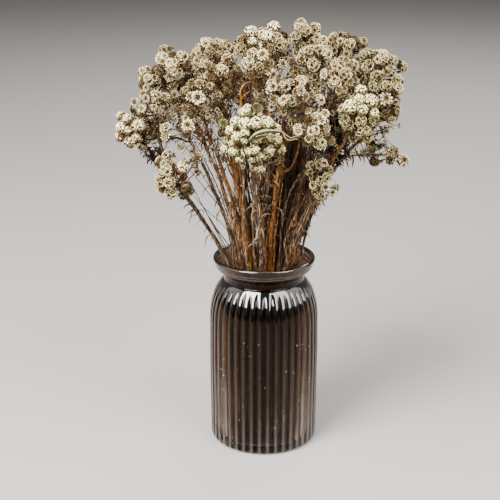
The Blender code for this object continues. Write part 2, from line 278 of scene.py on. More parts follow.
def rescaled(tree, value, **limits):
    """A value mapped from one range to another; a limit that isn't given is 0 or 1."""
    sockets = {name.replace("_", " ").title(): limit for name, limit in limits.items()}
    made = add_node(tree, "ShaderNodeMapRange", sockets)
    tree.links.new(value, made.inputs["Value"])
    return made.outputs["Result"]


def add_relief(tree, shader, height, strength, distance):
    """Small unevenness on a shader's surface, from a height value."""
    bump = add_node(tree, "ShaderNodeBump", {"Strength": strength, "Distance": distance})
    tree.links.new(height, bump.inputs["Height"])
    tree.links.new(bump.outputs["Normal"], shader.inputs["Normal"])


def dusting_group():
    """Specks and films of settled dust, heavier low down: a mask from 0 to 1."""
    group = bpy.data.node_groups.new("settled_dust", "ShaderNodeTree")
    interface = group.interface
    for name in ("Speck Size", "Film Size", "Low", "High"):
        interface.new_socket(name, in_out="INPUT", socket_type="NodeSocketFloat")
    interface.new_socket("Mask", in_out="OUTPUT", socket_type="NodeSocketFloat")
    start = group.nodes.new("NodeGroupInput")
    end = group.nodes.new("NodeGroupOutput")
    place = add_node(group, "ShaderNodeTexCoord")
    specks = add_node(group, "ShaderNodeTexNoise", {"Detail": 2})
    films = add_node(group, "ShaderNodeTexNoise", {"Detail": 4})
    for texture, size in ((specks, "Speck Size"), (films, "Film Size")):
        group.links.new(place.outputs["Object"], texture.inputs["Vector"])
        group.links.new(start.outputs[size], texture.inputs["Scale"])
    sharp = rescaled(group, specks.outputs["Fac"], from_min=0.62, from_max=0.72)
    height = add_node(group, "ShaderNodeSeparateXYZ")
    group.links.new(place.outputs["Object"], height.inputs["Vector"])
    low = add_node(group, "ShaderNodeMapRange", {"To Min": 1.0, "To Max": 0.0})
    group.links.new(height.outputs["Z"], low.inputs["Value"])
    group.links.new(start.outputs["Low"], low.inputs["From Min"])
    group.links.new(start.outputs["High"], low.inputs["From Max"])
    film = add_node(group, "ShaderNodeMath", operation="MULTIPLY")
    group.links.new(films.outputs["Fac"], film.inputs[0])
    group.links.new(low.outputs["Result"], film.inputs[1])
    both = add_node(group, "ShaderNodeMath", operation="MAXIMUM")
    speck_share = add_node(group, "ShaderNodeMath", {1: 0.5}, operation="MULTIPLY")
    group.links.new(sharp, speck_share.inputs[0])
    group.links.new(speck_share.outputs[0], both.inputs[0])
    group.links.new(film.outputs[0], both.inputs[1])
    group.links.new(both.outputs[0], end.inputs["Mask"])
    return group


COLLAR_SMOKE = (0.175, 0.088, 0.045)
LIP_SMOKE = (0.085, 0.080, 0.085)
DUST_TINT = (0.64, 0.49, 0.39)
SEAM_PLAIN = (1.0, 1.0, 1.0)
# seam colours: a painted shaded line at each seam and a painted glint between the two
SEAM_PAINTED_SHADE = (0.08, 0.06, 0.05)
SEAM_PAINTED_GLINT = (2.6, 2.5, 2.4)
settled_dust = dusting_group()
glass, tree, shader = new_material(
    "smoked_glass",
    Transmission_Weight=1.0,
    IOR=1.5,
    Metallic=0.0,
    Specular_Tint=(0.24, 0.14, 0.09, 1),
    Coat_IOR=1.9,
    Coat_Roughness=0.05,
)
dust = add_node(tree, "ShaderNodeGroup", node_tree=settled_dust)
for socket, value in (("Speck Size", 900), ("Film Size", 60), ("Low", 0.0), ("High", 0.09)):
    dust.inputs[socket].default_value = value
place = add_node(tree, "ShaderNodeTexCoord")
cloud = add_node(tree, "ShaderNodeTexNoise", {"Scale": 14, "Detail": 3})
tree.links.new(place.outputs["Object"], cloud.inputs["Vector"])
smoke_and_painted_light = ramp(tree, cloud.outputs["Fac"], [(0.3, (0.7, 0.7, 0.7)), (0.7, (1.0, 1.0, 1.0))])
height = add_node(tree, "ShaderNodeSeparateXYZ")
tree.links.new(place.outputs["Object"], height.inputs["Vector"])
above_neck = rescaled(tree, height.outputs["Z"], from_min=NECK_Z - 0.012, from_max=NECK_Z + 0.006)
# painted light and shade on the ribs: one flank of each rib is painted pale as if lit, and its groove dark
# as if shaded, in the glass colour
painted_rib_light = add_node(tree, "ShaderNodeAttribute", attribute_name="painted_rib_light")
painted_groove_shade_to_lit_flank = [
    (0.0, (0.022, 0.010, 0.006)),
    (0.5, (0.145, 0.076, 0.042)),
    (0.78, (0.20, 0.112, 0.070)),
    (0.94, (0.90, 0.64, 0.46)),
]
smoke_and_painted_light = mix_colours(tree, "MULTIPLY", 1.0, smoke_and_painted_light, ramp(tree, painted_rib_light.outputs["Fac"], painted_groove_shade_to_lit_flank))
smoke_and_painted_light = mix_colours(tree, "MIX", above_neck, smoke_and_painted_light, COLLAR_SMOKE)
# painted shade at the two seams and a painted glint between them; the glass just below the seams is darker
up_the_seams = rescaled(tree, height.outputs["Z"], from_min=0.1800, from_max=0.1900)
seam_painted_lines = [
    (0.0, (0.5, 0.45, 0.40)),
    (0.30, SEAM_PLAIN),
    (0.37, SEAM_PAINTED_SHADE),
    (0.45, SEAM_PLAIN),
    (0.53, SEAM_PAINTED_GLINT),
    (0.60, SEAM_PLAIN),
    (0.68, SEAM_PAINTED_SHADE),
    (0.76, SEAM_PLAIN),
]
smoke_and_painted_light = mix_colours(tree, "MULTIPLY", 1.0, smoke_and_painted_light, ramp(tree, up_the_seams, seam_painted_lines))
on_the_lip = rescaled(tree, height.outputs["Z"], from_min=LIP_Z - 0.0005, from_max=LIP_Z + 0.0010)
smoke_and_painted_light = mix_colours(tree, "MIX", on_the_lip, smoke_and_painted_light, LIP_SMOKE)
tinted = mix_colours(tree, "MIX", dust.outputs["Mask"], smoke_and_painted_light, DUST_TINT)
tree.links.new(tinted, shader.inputs["Base Color"])
haze = rescaled(tree, dust.outputs["Mask"], to_min=0.02, to_max=0.28)
tree.links.new(haze, shader.inputs["Roughness"])
waves = add_node(tree, "ShaderNodeTexNoise", {"Scale": 160, "Detail": 2})
tree.links.new(place.outputs["Object"], waves.inputs["Vector"])
add_relief(tree, shader, waves.outputs["Fac"], 0.06, 0.001)
sheen = add_node(tree, "ShaderNodeAttribute", attribute_name="lustre")
tree.links.new(sheen.outputs["Fac"], shader.inputs["Coat Weight"])

vase = mesh_object("ribbed_vase", vase_points.reshape(-1, 3), grid_triangles(*vase_points.shape[:2]), glass)
# painted light and shade on the ribs, set by height
painted_rib_light_up = np.where(is_outside, ribbed * np.interp(outline_z, *zip(*PAINTED_RIB_LIGHT_BY_HEIGHT)), 0)
painted_rib_light = 0.5 + (lit_side - 0.5)[None, :] * painted_rib_light_up[:, None]
for attribute, values in (("lustre", lustre), ("painted_rib_light", painted_rib_light)):
    stored = vase.data.attributes.new(attribute, "FLOAT", "POINT")
    stored.data.foreach_set("value", values.reshape(-1).astype(np.float32))
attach(vase, "root")
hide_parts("vase")

# ------------------------------------------------------------------------- dust grains
# Coarse grains of settled dust, a third of a millimetre to nearly one across, pale to greyish.
# They cling to the outside of the vase's body at random and lie half sunk in its surface.

GRAINS = 80
GRAIN_RADIUS = (0.00018, 0.00042)
GRAIN_UNEVENNESS = (0.8, 1.2)
GRAINS_FROM = 0.012
GRAINS_TO = 0.128
grain_draw = np.random.default_rng(31)
grain_finish, tree, shader = new_material("dust_grains", Roughness=0.8)
shade = add_node(tree, "ShaderNodeTexNoise", {"Scale": 90})
place = add_node(tree, "ShaderNodeTexCoord")
tree.links.new(place.outputs["Object"], shade.inputs["Vector"])
speckle = ramp(tree, shade.outputs["Fac"], [(0.3, (0.45, 0.41, 0.36)), (0.6, (0.95, 0.92, 0.86))])
tree.links.new(speckle, shader.inputs["Base Color"])
corners = np.array([(1, 0, 0), (-1, 0, 0), (0, 1, 0), (0, -1, 0), (0, 0, 1), (0, 0, -1)])
faces = np.array([(0, 2, 4), (2, 1, 4), (1, 3, 4), (3, 0, 4), (2, 0, 5), (1, 2, 5), (3, 1, 5), (0, 3, 5)])
body_rows = np.flatnonzero(is_outside & (outline_z > GRAINS_FROM) & (outline_z < GRAINS_TO))
grains, grain_faces = [], []
for number in range(GRAINS):
    row = grain_draw.choice(body_rows[:-1])
    column = grain_draw.integers(columns)
    below, above = vase_points[row, column], vase_points[row + 1, column]
    spot = below + (above - below) * grain_draw.random()
    reach = grain_draw.uniform(*GRAIN_RADIUS) * grain_draw.uniform(*GRAIN_UNEVENNESS, (6, 1))
    grains.append(spot + corners * reach)
    grain_faces.append(faces + 6 * number)
dust_grains = mesh_object("dust_grains", np.concatenate(grains), np.concatenate(grain_faces), grain_finish)
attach(dust_grains, "root")

# ------------------------------------------------------------------------- stems
# Dried flower stems, two to five millimetres thick, bent a little at every old leaf joint.
# Some are smooth and orange-brown, the others grey and woolly. They stand loose in the vase.

TRACE_STEP = 0.006
TRACE_REACH = 0.0028
TRACE_LIMIT = 120
TRACE_FROM_END = 0.001
FOOT_RING_HEIGHT = 0.002
TIP_RING_RADIUS = 0.004
TIP_RING_CORNERS = 6
BRANCH_STANDS_OFF = 0.010
STEM_SIDES = 8
STEM_POINT_SPACING = 0.004
JOINT_SPACING = 0.018
JOINT_LENGTH = 0.09
JOINT_SWELL = 0.16
STEM_WANDER = 0.0005
WANDER_FADE = 0.012
OFF_EVERY_STEM = (0.31, 0.95, 0.05)


def unit(vector):
    """A vector scaled to a length of 1."""
    return vector / np.linalg.norm(vector)


def units(vectors):
    """The rows of an array, each scaled to a length of 1."""
    return vectors / np.linalg.norm(vectors, axis=1)[:, None]


def solid_edges(node):
    """Both ends of every edge of a CAD node, as an array of pairs of points."""
    mesh = frame["nodes"][node].data
    points = np.array([v.co for v in mesh.vertices])
    corners = np.array([p.vertices for p in mesh.polygons if len(p.vertices) == 3])
    pairs = np.concatenate([corners[:, [0, 1]], corners[:, [1, 2]], corners[:, [2, 0]]])
    return points[pairs]


def cut_middle(edges, place, heading, reach):
    """The middle and radius of a tube where a plane across it cuts its edges near a place."""
    start, end = edges[:, 0], edges[:, 1]
    before = (start - place) @ heading
    after = (end - place) @ heading
    crossing = before * after < 0
    share = (before / np.where(crossing, before - after, 1))[crossing, None]
    cuts = start[crossing] + (end[crossing] - start[crossing]) * share
    near = cuts[np.linalg.norm(cuts - place, axis=1) < reach]
    if len(near) < 4:
        return None, 0
    middle = near.mean(axis=0)
    return middle, np.linalg.norm(near - middle, axis=1).mean()


def trace_tube(edges, place, heading, stop=None):
    """Follows the middle of a tube from one end, step by step: points and radii."""
    points, radii = [], []
    while len(points) < TRACE_LIMIT:
        middle, radius = cut_middle(edges, place, heading, TRACE_REACH)
        if middle is None:
            break
        if points:
            heading = unit(middle - points[-1])
        points.append(middle)
        radii.append(radius)
        if stop is not None and np.linalg.norm(stop - middle, axis=1).min() < TRACE_STEP * 0.7:
            break
        place = middle + heading * TRACE_STEP
    return np.array(points), np.array(radii)


def stem_runs(node):
    """The middle line and radii of a stem, and of its side branch from its tip inwards."""
    edges = solid_edges(node)
    corners = np.unique(edges.reshape(-1, 3).round(6), axis=0)
    foot = corners[corners[:, 2] < corners[:, 2].min() + FOOT_RING_HEIGHT].mean(axis=0)
    up = np.array([0, 0, 1.0])
    main = trace_tube(edges, foot + up * TRACE_FROM_END, up)
    apart = np.linalg.norm(corners[:, None] - main[0][None], axis=2).min(axis=1)
    if apart.max() < BRANCH_STANDS_OFF:
        return [main]
    tip = corners[apart.argmax()]
    ring = corners[np.linalg.norm(corners - tip, axis=1) < TIP_RING_RADIUS]
    last = ring.mean(axis=0)
    nearest = np.linalg.norm(corners - last, axis=1).argsort()
    behind = corners[nearest[len(ring) : len(ring) + TIP_RING_CORNERS]]
    heading = unit(behind.mean(axis=0) - last)
    side = trace_tube(edges, last + heading * TRACE_FROM_END, heading, stop=main[0])
    return [main, (side[0][::-1], side[1][::-1])]


def resample(points, radii, spacing):
    """A run with its points evenly spaced, on a smooth curve through the old ones."""
    lengths = np.concatenate([[0], np.cumsum(np.linalg.norm(np.diff(points, axis=0), axis=1))])
    count = max(3, round(lengths[-1] / spacing))
    even = np.linspace(0, lengths[-1], count)
    slopes = np.gradient(points, lengths, axis=0)
    segment = np.clip(np.searchsorted(lengths, even) - 1, 0, len(points) - 2)
    size = (lengths[segment + 1] - lengths[segment])[:, None]
    t = ((even - lengths[segment]) / size[:, 0])[:, None]
    smooth = (
        points[segment] * (2 * t**3 - 3 * t**2 + 1)
        + slopes[segment] * size * (t**3 - 2 * t**2 + t)
        + points[segment + 1] * (3 * t**2 - 2 * t**3)
        + slopes[segment + 1] * size * (t**3 - t**2)
    )
    return smooth, np.interp(even, lengths, radii)


def tube(points, radii, sides):
    """Points and triangles of a closed tube round a line of points."""
    ahead = units(np.gradient(points, axis=0))
    across = np.cross(ahead[0], OFF_EVERY_STEM)
    rings = []
    turns = np.arange(sides) * 2 * math.pi / sides
    for point, radius, forward in zip(points, radii, ahead):
        across = unit(across - forward * (across @ forward))
        beside = np.cross(forward, across)
        rings.append(point + radius * (np.outer(np.cos(turns), across) + np.outer(np.sin(turns), beside)))
    body = grid_triangles(len(points), sides)
    first = [(0, i + 1, i) for i in range(1, sides - 1)]
    start = (len(points) - 1) * sides
    last = [(start, start + i, start + i + 1) for i in range(1, sides - 1)]
    return np.concatenate(rings), np.concatenate([body, first, last])


class Heap:
    """Shapes gathered for one mesh: points, triangles, material slots and point values."""

    def __init__(self):
        self.points, self.triangles, self.slots, self.values = [], [], [], []
        self.count = 0

    def add(self, points, triangles, slot=0, value=0.0):
        """Adds a shape; value is a number, or an array with a row of numbers for each point."""
        self.points.append(points)
        self.triangles.append(np.asarray(triangles) + self.count)
        self.slots.append(np.broadcast_to(slot, len(triangles)))
        self.values.append(np.broadcast_to(np.asarray(value, float), (len(points),) + np.shape(value)[1:]))
        self.count += len(points)

    def build(self, name, surfaces, value_names=("tone",)):
        """The mesh object, with its materials and its point values as attributes."""
        made = mesh_object(name, np.concatenate(self.points), np.concatenate(self.triangles), surfaces[0])
        for surface in surfaces[1:]:
            made.data.materials.append(surface)
        made.data.polygons.foreach_set("material_index", np.concatenate(self.slots).astype(np.int32))
        values = np.concatenate([v.reshape(len(v), -1) for v in self.values])
        for column, value_name in enumerate(value_names):
            store = made.data.attributes.new(value_name, "FLOAT", "POINT")
            store.data.foreach_set("value", values[:, column].astype(np.float32))
        return made


def jointed(points, radii, draw):
    """A resampled run with a swelling and a slight bend at each old leaf joint."""
    length = JOINT_SPACING * draw.uniform(0.8, 1.2)
    along = np.arange(len(points)) * STEM_POINT_SPACING
    joints = along / length + draw.uniform(0, 1)
    share = joints % 1
    knee = np.floor(joints).astype(int)
    swell = np.exp(-((share - 0.5) / JOINT_LENGTH) ** 2)
    offsets = draw.normal(0, STEM_WANDER, (knee.max() + 2, 3))
    wander = offsets[knee] * (1 - share[:, None]) + offsets[knee + 1] * share[:, None]
    fade = np.minimum(1, np.minimum(along, along[::-1]) / WANDER_FADE)[:, None]
    return points + wander * fade, radii * (1 + JOINT_SWELL * swell)


def streak_group():
    """Fibres that run up the stem, as a mask, and the blotches that weather leaves on it."""
    group = bpy.data.node_groups.new("weathered_fibre", "ShaderNodeTree")
    interface = group.interface
    for way, names in (("INPUT", ("Fibre Size", "Blotch Size")), ("OUTPUT", ("Fibre", "Blotch"))):
        for name in names:
            interface.new_socket(name, in_out=way, socket_type="NodeSocketFloat")
    start = group.nodes.new("NodeGroupInput")
    end = group.nodes.new("NodeGroupOutput")
    place = add_node(group, "ShaderNodeTexCoord")
    stretch = add_node(group, "ShaderNodeMapping", {"Scale": (1, 1, 0.12)})
    group.links.new(place.outputs["Object"], stretch.inputs["Vector"])
    for output, source, size in (
        ("Fibre", stretch.outputs["Vector"], "Fibre Size"),
        ("Blotch", place.outputs["Object"], "Blotch Size"),
    ):
        noise = add_node(group, "ShaderNodeTexNoise", {"Detail": 3, "Roughness": 0.6})
        group.links.new(source, noise.inputs["Vector"])
        group.links.new(start.outputs[size], noise.inputs["Scale"])
        spread = rescaled(group, noise.outputs["Fac"], from_min=0.3, from_max=0.7)
        group.links.new(spread, end.inputs[output])
    return group


weathered_fibre = streak_group()


def add_fibre(tree, fibre_size, blotch_size):
    """The weathered fibres and blotches in a material, at the sizes that suit it."""
    made = add_node(tree, "ShaderNodeGroup", node_tree=weathered_fibre)
    made.inputs["Fibre Size"].default_value = fibre_size
    made.inputs["Blotch Size"].default_value = blotch_size
    return made


def bark(name, dark, middle, pale, roughness, fibre_size, relief):
    """Dried bark: fibres in two browns, lighter where it has weathered, and a fine relief."""
    made, tree, shader = new_material(name, Specular_IOR_Level=0.18)
    fibre = add_fibre(tree, fibre_size, 90)
    base = ramp(tree, fibre.outputs["Fibre"], [(0.15, dark), (0.55, middle), (0.95, pale)])
    weather = ramp(tree, fibre.outputs["Blotch"], [(0.2, (0.55, 0.5, 0.46)), (0.8, (1.0, 1.0, 1.0))])
    tone = add_node(tree, "ShaderNodeAttribute", attribute_name="tone")
    toned = ramp(tree, tone.outputs["Fac"], [(0.0, (0.55, 0.55, 0.6)), (1.0, (1.25, 1.2, 1.1))])
    colour = mix_colours(tree, "MULTIPLY", 0.8, base, weather)
    colour = mix_colours(tree, "MULTIPLY", 1.0, colour, toned)
    tree.links.new(colour, shader.inputs["Base Color"])
    rough = rescaled(tree, fibre.outputs["Blotch"], to_min=roughness - 0.12, to_max=roughness + 0.1)
    tree.links.new(rough, shader.inputs["Roughness"])
    add_relief(tree, shader, fibre.outputs["Fibre"], relief, 0.0004)
    return made


orange_bark = bark(
    "orange_bark", (0.036, 0.012, 0.0022), (0.165, 0.061, 0.0090), (0.40, 0.178, 0.036), 0.5, 700, 0.5
)
grey_bark = bark(
    "grey_bark", (0.009, 0.0034, 0.0013), (0.060, 0.032, 0.015), (0.33, 0.235, 0.145), 0.8, 900, 0.8
)
STEM_FINISH = {"orange_bark": orange_bark, "grey_bark": grey_bark}
slot_of = {part["node"]: part["material_slot"] for part in frame["record"]["subparts"]}
stem_nodes = sorted(name for name in frame["nodes"] if name.startswith("stem"))

DRAWN_IN = {"stem_12": (-0.013, 0, 0)}


def drawn_in(runs, inward):
    """A stem and its side branch drawn in to the bunch, most of all four fifths of the way up."""
    (main, thick), (side, thin) = runs
    share = np.linspace(0, 1, len(main))[:, None]
    bow = share**4 * (1 - share)
    drawn = main + np.array(inward) * bow / bow.max()
    joint = np.linalg.norm(main - side[0], axis=1).argmin()
    fade = np.linspace(1, 0, len(side))[:, None]
    return [(drawn, thick), (side + (drawn[joint] - main[joint]) * fade, thin)]


runs_of = {}
for number, node in enumerate(stem_nodes):
    draw = np.random.default_rng(100 + number)
    heap = Heap()
    runs_of[node] = stem_runs(node)
    if node in DRAWN_IN:
        runs_of[node] = drawn_in(runs_of[node], DRAWN_IN[node])
    for points, radii in runs_of[node]:
        points, radii = jointed(*resample(points, radii, STEM_POINT_SPACING), draw)
        heap.add(*tube(points, radii, STEM_SIDES), value=draw.uniform(0.2, 0.8))
    stem = heap.build(f"{node}_bark", [STEM_FINISH[slot_of[node]]])
    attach(stem, "root")
    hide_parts(node)

# ------------------------------------------------------------------------- thin twigs
# Thin dried side shoots, one to two millimetres thick, that rise beside the stems from inside
# the vase, lean apart and end bare or under the flowers.

TWIGS_PER_STEM = 3
TWIG_RADIUS = (0.00045, 0.0010)
TWIG_TIP_SHARE = 0.6
TWIG_SPREAD = (0.002, 0.007)
TWIG_STARTS = (1, 9)
TWIG_ENDS = (0.62, 0.98)
TWIG_DRIFT = (0.35, 1.25)
TWIG_WANDER = 0.0018
TWIG_KEEPS_IN = 6
KEEPS_IN_POINT = 15
TWIG_BENDS = 6
TWIG_SIDES = 5
ROOTED_BELOW = 0.250
ROOT_PLACES = ((0.50, 0.55, 0.150), (0.75, 0.80, 0.185))
TWIG_PATHS = (
    # Finish, radius in mm at the root and the tip, tone, and points in mm from root to tip. The
    # courses were picked by eye from the front, and another script worked the points out.
    ("orange_bark", 0.8, 0.55, 0.35, (
        (-21, -34, 226), (-22, -37, 256), (-25, -40, 270), (-28, -43, 284), (-31, -46, 296),
        (-36, -49, 302), (-44, -52, 310),
    )),
    ("orange_bark", 0.75, 0.4, 0.05, (
        (-21, -40, 277), (-27, -44, 297), (-38, -48, 306), (-49, -52, 315), (-58, -56, 324),
    )),
    ("orange_bark", 0.6, 0.4, 0.1, (
        (-27, -46, 294), (-31, -48, 301), (-40, -51, 312), (-47, -53, 323), (-55, -56, 336),
    )),
    ("grey_bark", 0.6, 0.35, 0.1, (
        (-35, -40, 277), (-43, -42, 291), (-47, -45, 300), (-48, -48, 313), (-52, -50, 323),
    )),
    ("orange_bark", 1.0, 0.8, 1.0, (
        (-23, -64, 341), (-22, -64, 353), (-22, -64, 364), (-22, -64, 373), (-20, -64, 376),
        (-10, -64, 380),
    )),
    ("orange_bark", 0.8, 0.5, 1.0, (
        (-22, -64, 363), (-18, -65, 368), (-14, -66, 371),
    )),
    ("orange_bark", 0.8, 0.6, 1.0, (
        (-7, -88, 349), (-4, -89, 352), (-0, -89, 354), (5, -90, 355), (11, -90, 358),
    )),
    ("orange_bark", 1.1, 0.8, 0.15, (
        (-2, -34, 240), (-5, -35, 258), (-7, -37, 273), (-8, -38, 287), (-9, -40, 297),
    )),
    ("orange_bark", 1.3, 0.8, 0.75, (
        (8, -36, 280), (11, -42, 288), (22, -48, 295), (27, -54, 306), (30, -60, 320),
        (31, -66, 331),
    )),
    ("orange_bark", 0.9, 0.6, 0.9, (
        (6, -36, 276), (3, -41, 282), (-1, -45, 289), (-4, -50, 294),
    )),
    ("orange_bark", 1.0, 0.8, 0.4, (
        (28, -28, 197), (28, -30, 228), (30, -31, 244), (31, -32, 256), (34, -34, 271),
    )),
    ("grey_bark", 1.0, 0.7, 0.95, (
        (23, -26, 192), (19, -30, 217), (24, -34, 235), (31, -38, 251), (37, -42, 266),
        (41, -46, 277),
    )),
    ("grey_bark", 1.2, 0.7, 0.8, (
        (18, -26, 243), (21, -30, 259), (28, -35, 278), (36, -39, 289), (43, -44, 301),
    )),
    ("grey_bark", 1.5, 0.9, 0.25, (
        (34, -16, 193), (37, -18, 208), (40, -20, 225), (45, -22, 244), (46, -24, 260),
        (50, -26, 273),
    )),
    ("grey_bark", 0.8, 0.45, 0.6, (
        (-29, -30, 206), (-47, -37, 236), (-56, -44, 254), (-65, -51, 275), (-71, -58, 291),
    )),
    ("grey_bark", 0.5, 0.35, 0.9, (
        (-33, -34, 226), (-42, -38, 241), (-52, -42, 251), (-61, -46, 262), (-66, -50, 270),
    )),
    ("grey_bark", 0.6, 0.4, 1.0, (
        (-37, -36, 246), (-43, -42, 258), (-54, -48, 274), (-62, -54, 287), (-69, -60, 298),
    )),
    ("grey_bark", 1.7, 1.4, 0.85, (
        (-17, -38, 201), (-19, -40, 225), (-20, -41, 245), (-20, -43, 265), (-20, -44, 285),
        (-21, -46, 299),
    )),
    ("grey_bark", 1.3, 1.0, 0.7, (
        (-10, -36, 206), (-11, -38, 229), (-11, -39, 244), (-11, -41, 264), (-12, -42, 284),
        (-13, -44, 295),
    )),
    ("grey_bark", 0.8, 0.5, 0.8, (
        (-24, -36, 200), (-25, -37, 218), (-27, -38, 235), (-31, -39, 251), (-32, -40, 267),
    )),
    ("grey_bark", 0.7, 0.45, 0.1, (
        (105, -14, 333), (109, -14, 326), (111, -14, 320), (112, -14, 317),
    )),
    ("orange_bark", 0.45, 0.35, 0.9, (
        (112, -14, 317), (116, -13, 314), (120, -13, 310), (125, -12, 307),
    )),
    ("grey_bark", 0.5, 0.4, 0.1, (
        (112, -14, 319), (107, -13, 311), (102, -13, 305), (104, -12, 297),
    )),
)


def along_line(points, places):
    """The points at whole or fractional places along a line of points."""
    numbers = np.arange(len(points))
    return np.stack([np.interp(places, numbers, points[:, k]) for k in range(3)], axis=1)


def beside(points, sideways, spread, draw):
    """A line that rises beside a stem, drifting away from it and wandering a little."""
    share = np.linspace(0, 1, len(points))[:, None]
    wander = along_line(draw.normal(0, TWIG_WANDER, (TWIG_BENDS + 1, 3)), share[:, 0] * TWIG_BENDS)
    drift = np.linspace(*TWIG_DRIFT, len(points))[:, None]
    return points + sideways * spread * drift + wander * np.minimum(1, share * 4)


def rooted(path):
    """A twig's path in metres, led down into the vase where it starts near the mouth."""
    path = np.array(path) / 1000
    if path[0, 2] > ROOTED_BELOW:
        return path
    root = [(path[0, 0] * x, path[0, 1] * y, z) for x, y, z in ROOT_PLACES]
    return np.concatenate([root, path])


twig_draw = np.random.default_rng(300)
for finish, twig_bark in STEM_FINISH.items():
    heap = Heap()
    for path_finish, root_size, tip_size, tone, path in TWIG_PATHS:
        if path_finish == finish:
            path = rooted(path)
            thick = np.linspace(root_size, tip_size, len(path)) / 1000
            heap.add(*tube(*resample(path, thick, STEM_POINT_SPACING), TWIG_SIDES + 1), value=tone)
    for node in stem_nodes:
        if slot_of[node] != finish:
            continue
        points, radii = runs_of[node][0]
        for _ in range(TWIGS_PER_STEM):
            inwards = TWIG_KEEPS_IN * points[KEEPS_IN_POINT] * (1, 1, 0)
            sideways = unit(np.array([twig_draw.normal(), twig_draw.normal(), 0]) - inwards)
            first = twig_draw.integers(*TWIG_STARTS)
            last = round(len(points) * twig_draw.uniform(*TWIG_ENDS))
            line = beside(points[first:last], sideways, twig_draw.uniform(*TWIG_SPREAD), twig_draw)
            thick = np.linspace(1, TWIG_TIP_SHARE, len(line)) * twig_draw.uniform(*TWIG_RADIUS)
            heap.add(*tube(line, thick, TWIG_SIDES), value=twig_draw.uniform(0, 1))
    twigs = heap.build(f"thin_twigs_{finish}", [twig_bark])
    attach(twigs, "root")

# ------------------------------------------------------------------------- withered leaves
# Narrow woolly leaves that have dried on the stems. They hang close, fold along the middle and
# curl. They are brown on the left, greyish-tan in the middle, and nearly black in the tufts.

LEAVES_PER_POINT = 1.7
LEAVES_FROM = 0.205
LEAF_LENGTH = (0.006, 0.017)
LEAF_WIDTH = (0.0004, 0.0010)
LEAF_SHAPE = (0.5, 0.9, 1.0, 0.85, 0.55, 0.1)
LEAF_FOLD = 0.6
LEAF_WAVE = 0.12
LEAF_TWIST = 0.18
LEAF_ALONG_STEM = (0.3, 1.8)
LEAF_FALL = (0.25, 0.8)
LEAF_CURL = 0.3
LEAF_TONE_SPREAD = 0.18
TUFT_LEAF_LENGTH = (0.006, 0.014)
TUFT_LEAF_WIDTH = 0.0010
TUFT_LEAF_BEND = (0.25, 0.3)
TUFT_REACH = 2.2
DARK_TUFTS = (
    # place in mm, spread in mm, and leaves
    (-104, -12, 301, 8, 46),
    (-97, -16, 297, 7, 30),
    (66, -30, 301, 6, 60),
    (68, -34, 313, 7, 60),
    (69, -42, 325, 7, 56),
    # the black leaves of this tuft also paint the shade there
    (66, -30, 336, 7, 44),
    (100, -16, 318, 5, 26),
    (104, -14, 309, 6, 26),
)
leaf_draw = np.random.default_rng(400)


def strip_triangles(rows, columns):
    """Triangles of an open sheet of rows, each of so many points across."""
    quads = []
    for c in range(columns - 1):
        quads += [(c, c + 1, c + 1 + columns), (c, c + 1 + columns, c + columns)]
    starts = np.arange(rows - 1) * columns
    return (starts[:, None, None] + np.array(quads)[None]).reshape(-1, 3)


def withered_leaf(start, heading, length, width, fall, curl, draw):
    """A hanging, folded, curled strip: its points and triangles."""
    down = np.array([0, 0, -1.0])
    side = unit(np.cross(heading, draw.normal(0, 1, 3)))
    place, points = start, []
    for half in np.array(LEAF_SHAPE) * width:
        normal = np.cross(side, heading)
        fold = normal * half * LEAF_FOLD
        points += [place - side * half + fold, place, place + side * half + fold]
        heading = unit(heading + down * fall + normal * curl + draw.normal(0, LEAF_WAVE, 3))
        side = side + draw.normal(0, LEAF_TWIST, 3)
        side = unit(side - heading * (side @ heading))
        place = place + heading * length / (len(LEAF_SHAPE) - 1)
    return np.array(points), strip_triangles(len(LEAF_SHAPE), 3)


def crowding(place):
    """How close the leaves stand on the stems: thin at the left, thick in the middle."""
    across = np.interp(place[0], (-0.09, -0.04, -0.01, 0.05, 0.10), (0.5, 0.7, 1.0, 1.3, 0.9))
    return across * np.interp(place[2], (LEAVES_FROM, 0.25), (0.35, 1))


def leaf_tone(place):
    """How woolly and pale a leaf is: 0 is black and 1 is the colour of straw."""
    return np.interp(place[0], (-0.06, -0.01, 0.02, 0.05, 0.08), (0.40, 0.62, 0.30, 0.42, 0.55))


leaves = Heap()
for node in stem_nodes:
    for points, radii in runs_of[node]:
        for k in range(len(points) - 1):
            place = points[k]
            if place[2] < LEAVES_FROM:
                continue
            ahead = unit(points[k + 1] - place)
            for _ in range(leaf_draw.poisson(LEAVES_PER_POINT * crowding(place))):
                out = unit(np.cross(ahead, leaf_draw.normal(0, 1, 3)))
                start = place + ahead * leaf_draw.uniform(0, TRACE_STEP) + out * radii[k] * 0.8
                heading = unit(out + ahead * leaf_draw.uniform(*LEAF_ALONG_STEM))
                size = leaf_draw.uniform(*LEAF_LENGTH), leaf_draw.uniform(*LEAF_WIDTH)
                bend = leaf_draw.uniform(*LEAF_FALL), leaf_draw.normal(0, LEAF_CURL)
                tone = np.clip(leaf_draw.normal(leaf_tone(place), LEAF_TONE_SPREAD), 0.05, 1)
                leaves.add(*withered_leaf(start, heading, *size, *bend, leaf_draw), value=tone)
for x, y, z, spread, count in DARK_TUFTS:
    for _ in range(count):
        start = np.array([x, y, z]) / 1000 + leaf_draw.normal(0, spread / (1000 * TUFT_REACH), 3)
        heading = unit(leaf_draw.normal(0, 1, 3))
        size = leaf_draw.uniform(*TUFT_LEAF_LENGTH), TUFT_LEAF_WIDTH
        leaves.add(*withered_leaf(start, heading, *size, *TUFT_LEAF_BEND, leaf_draw), value=0.0)


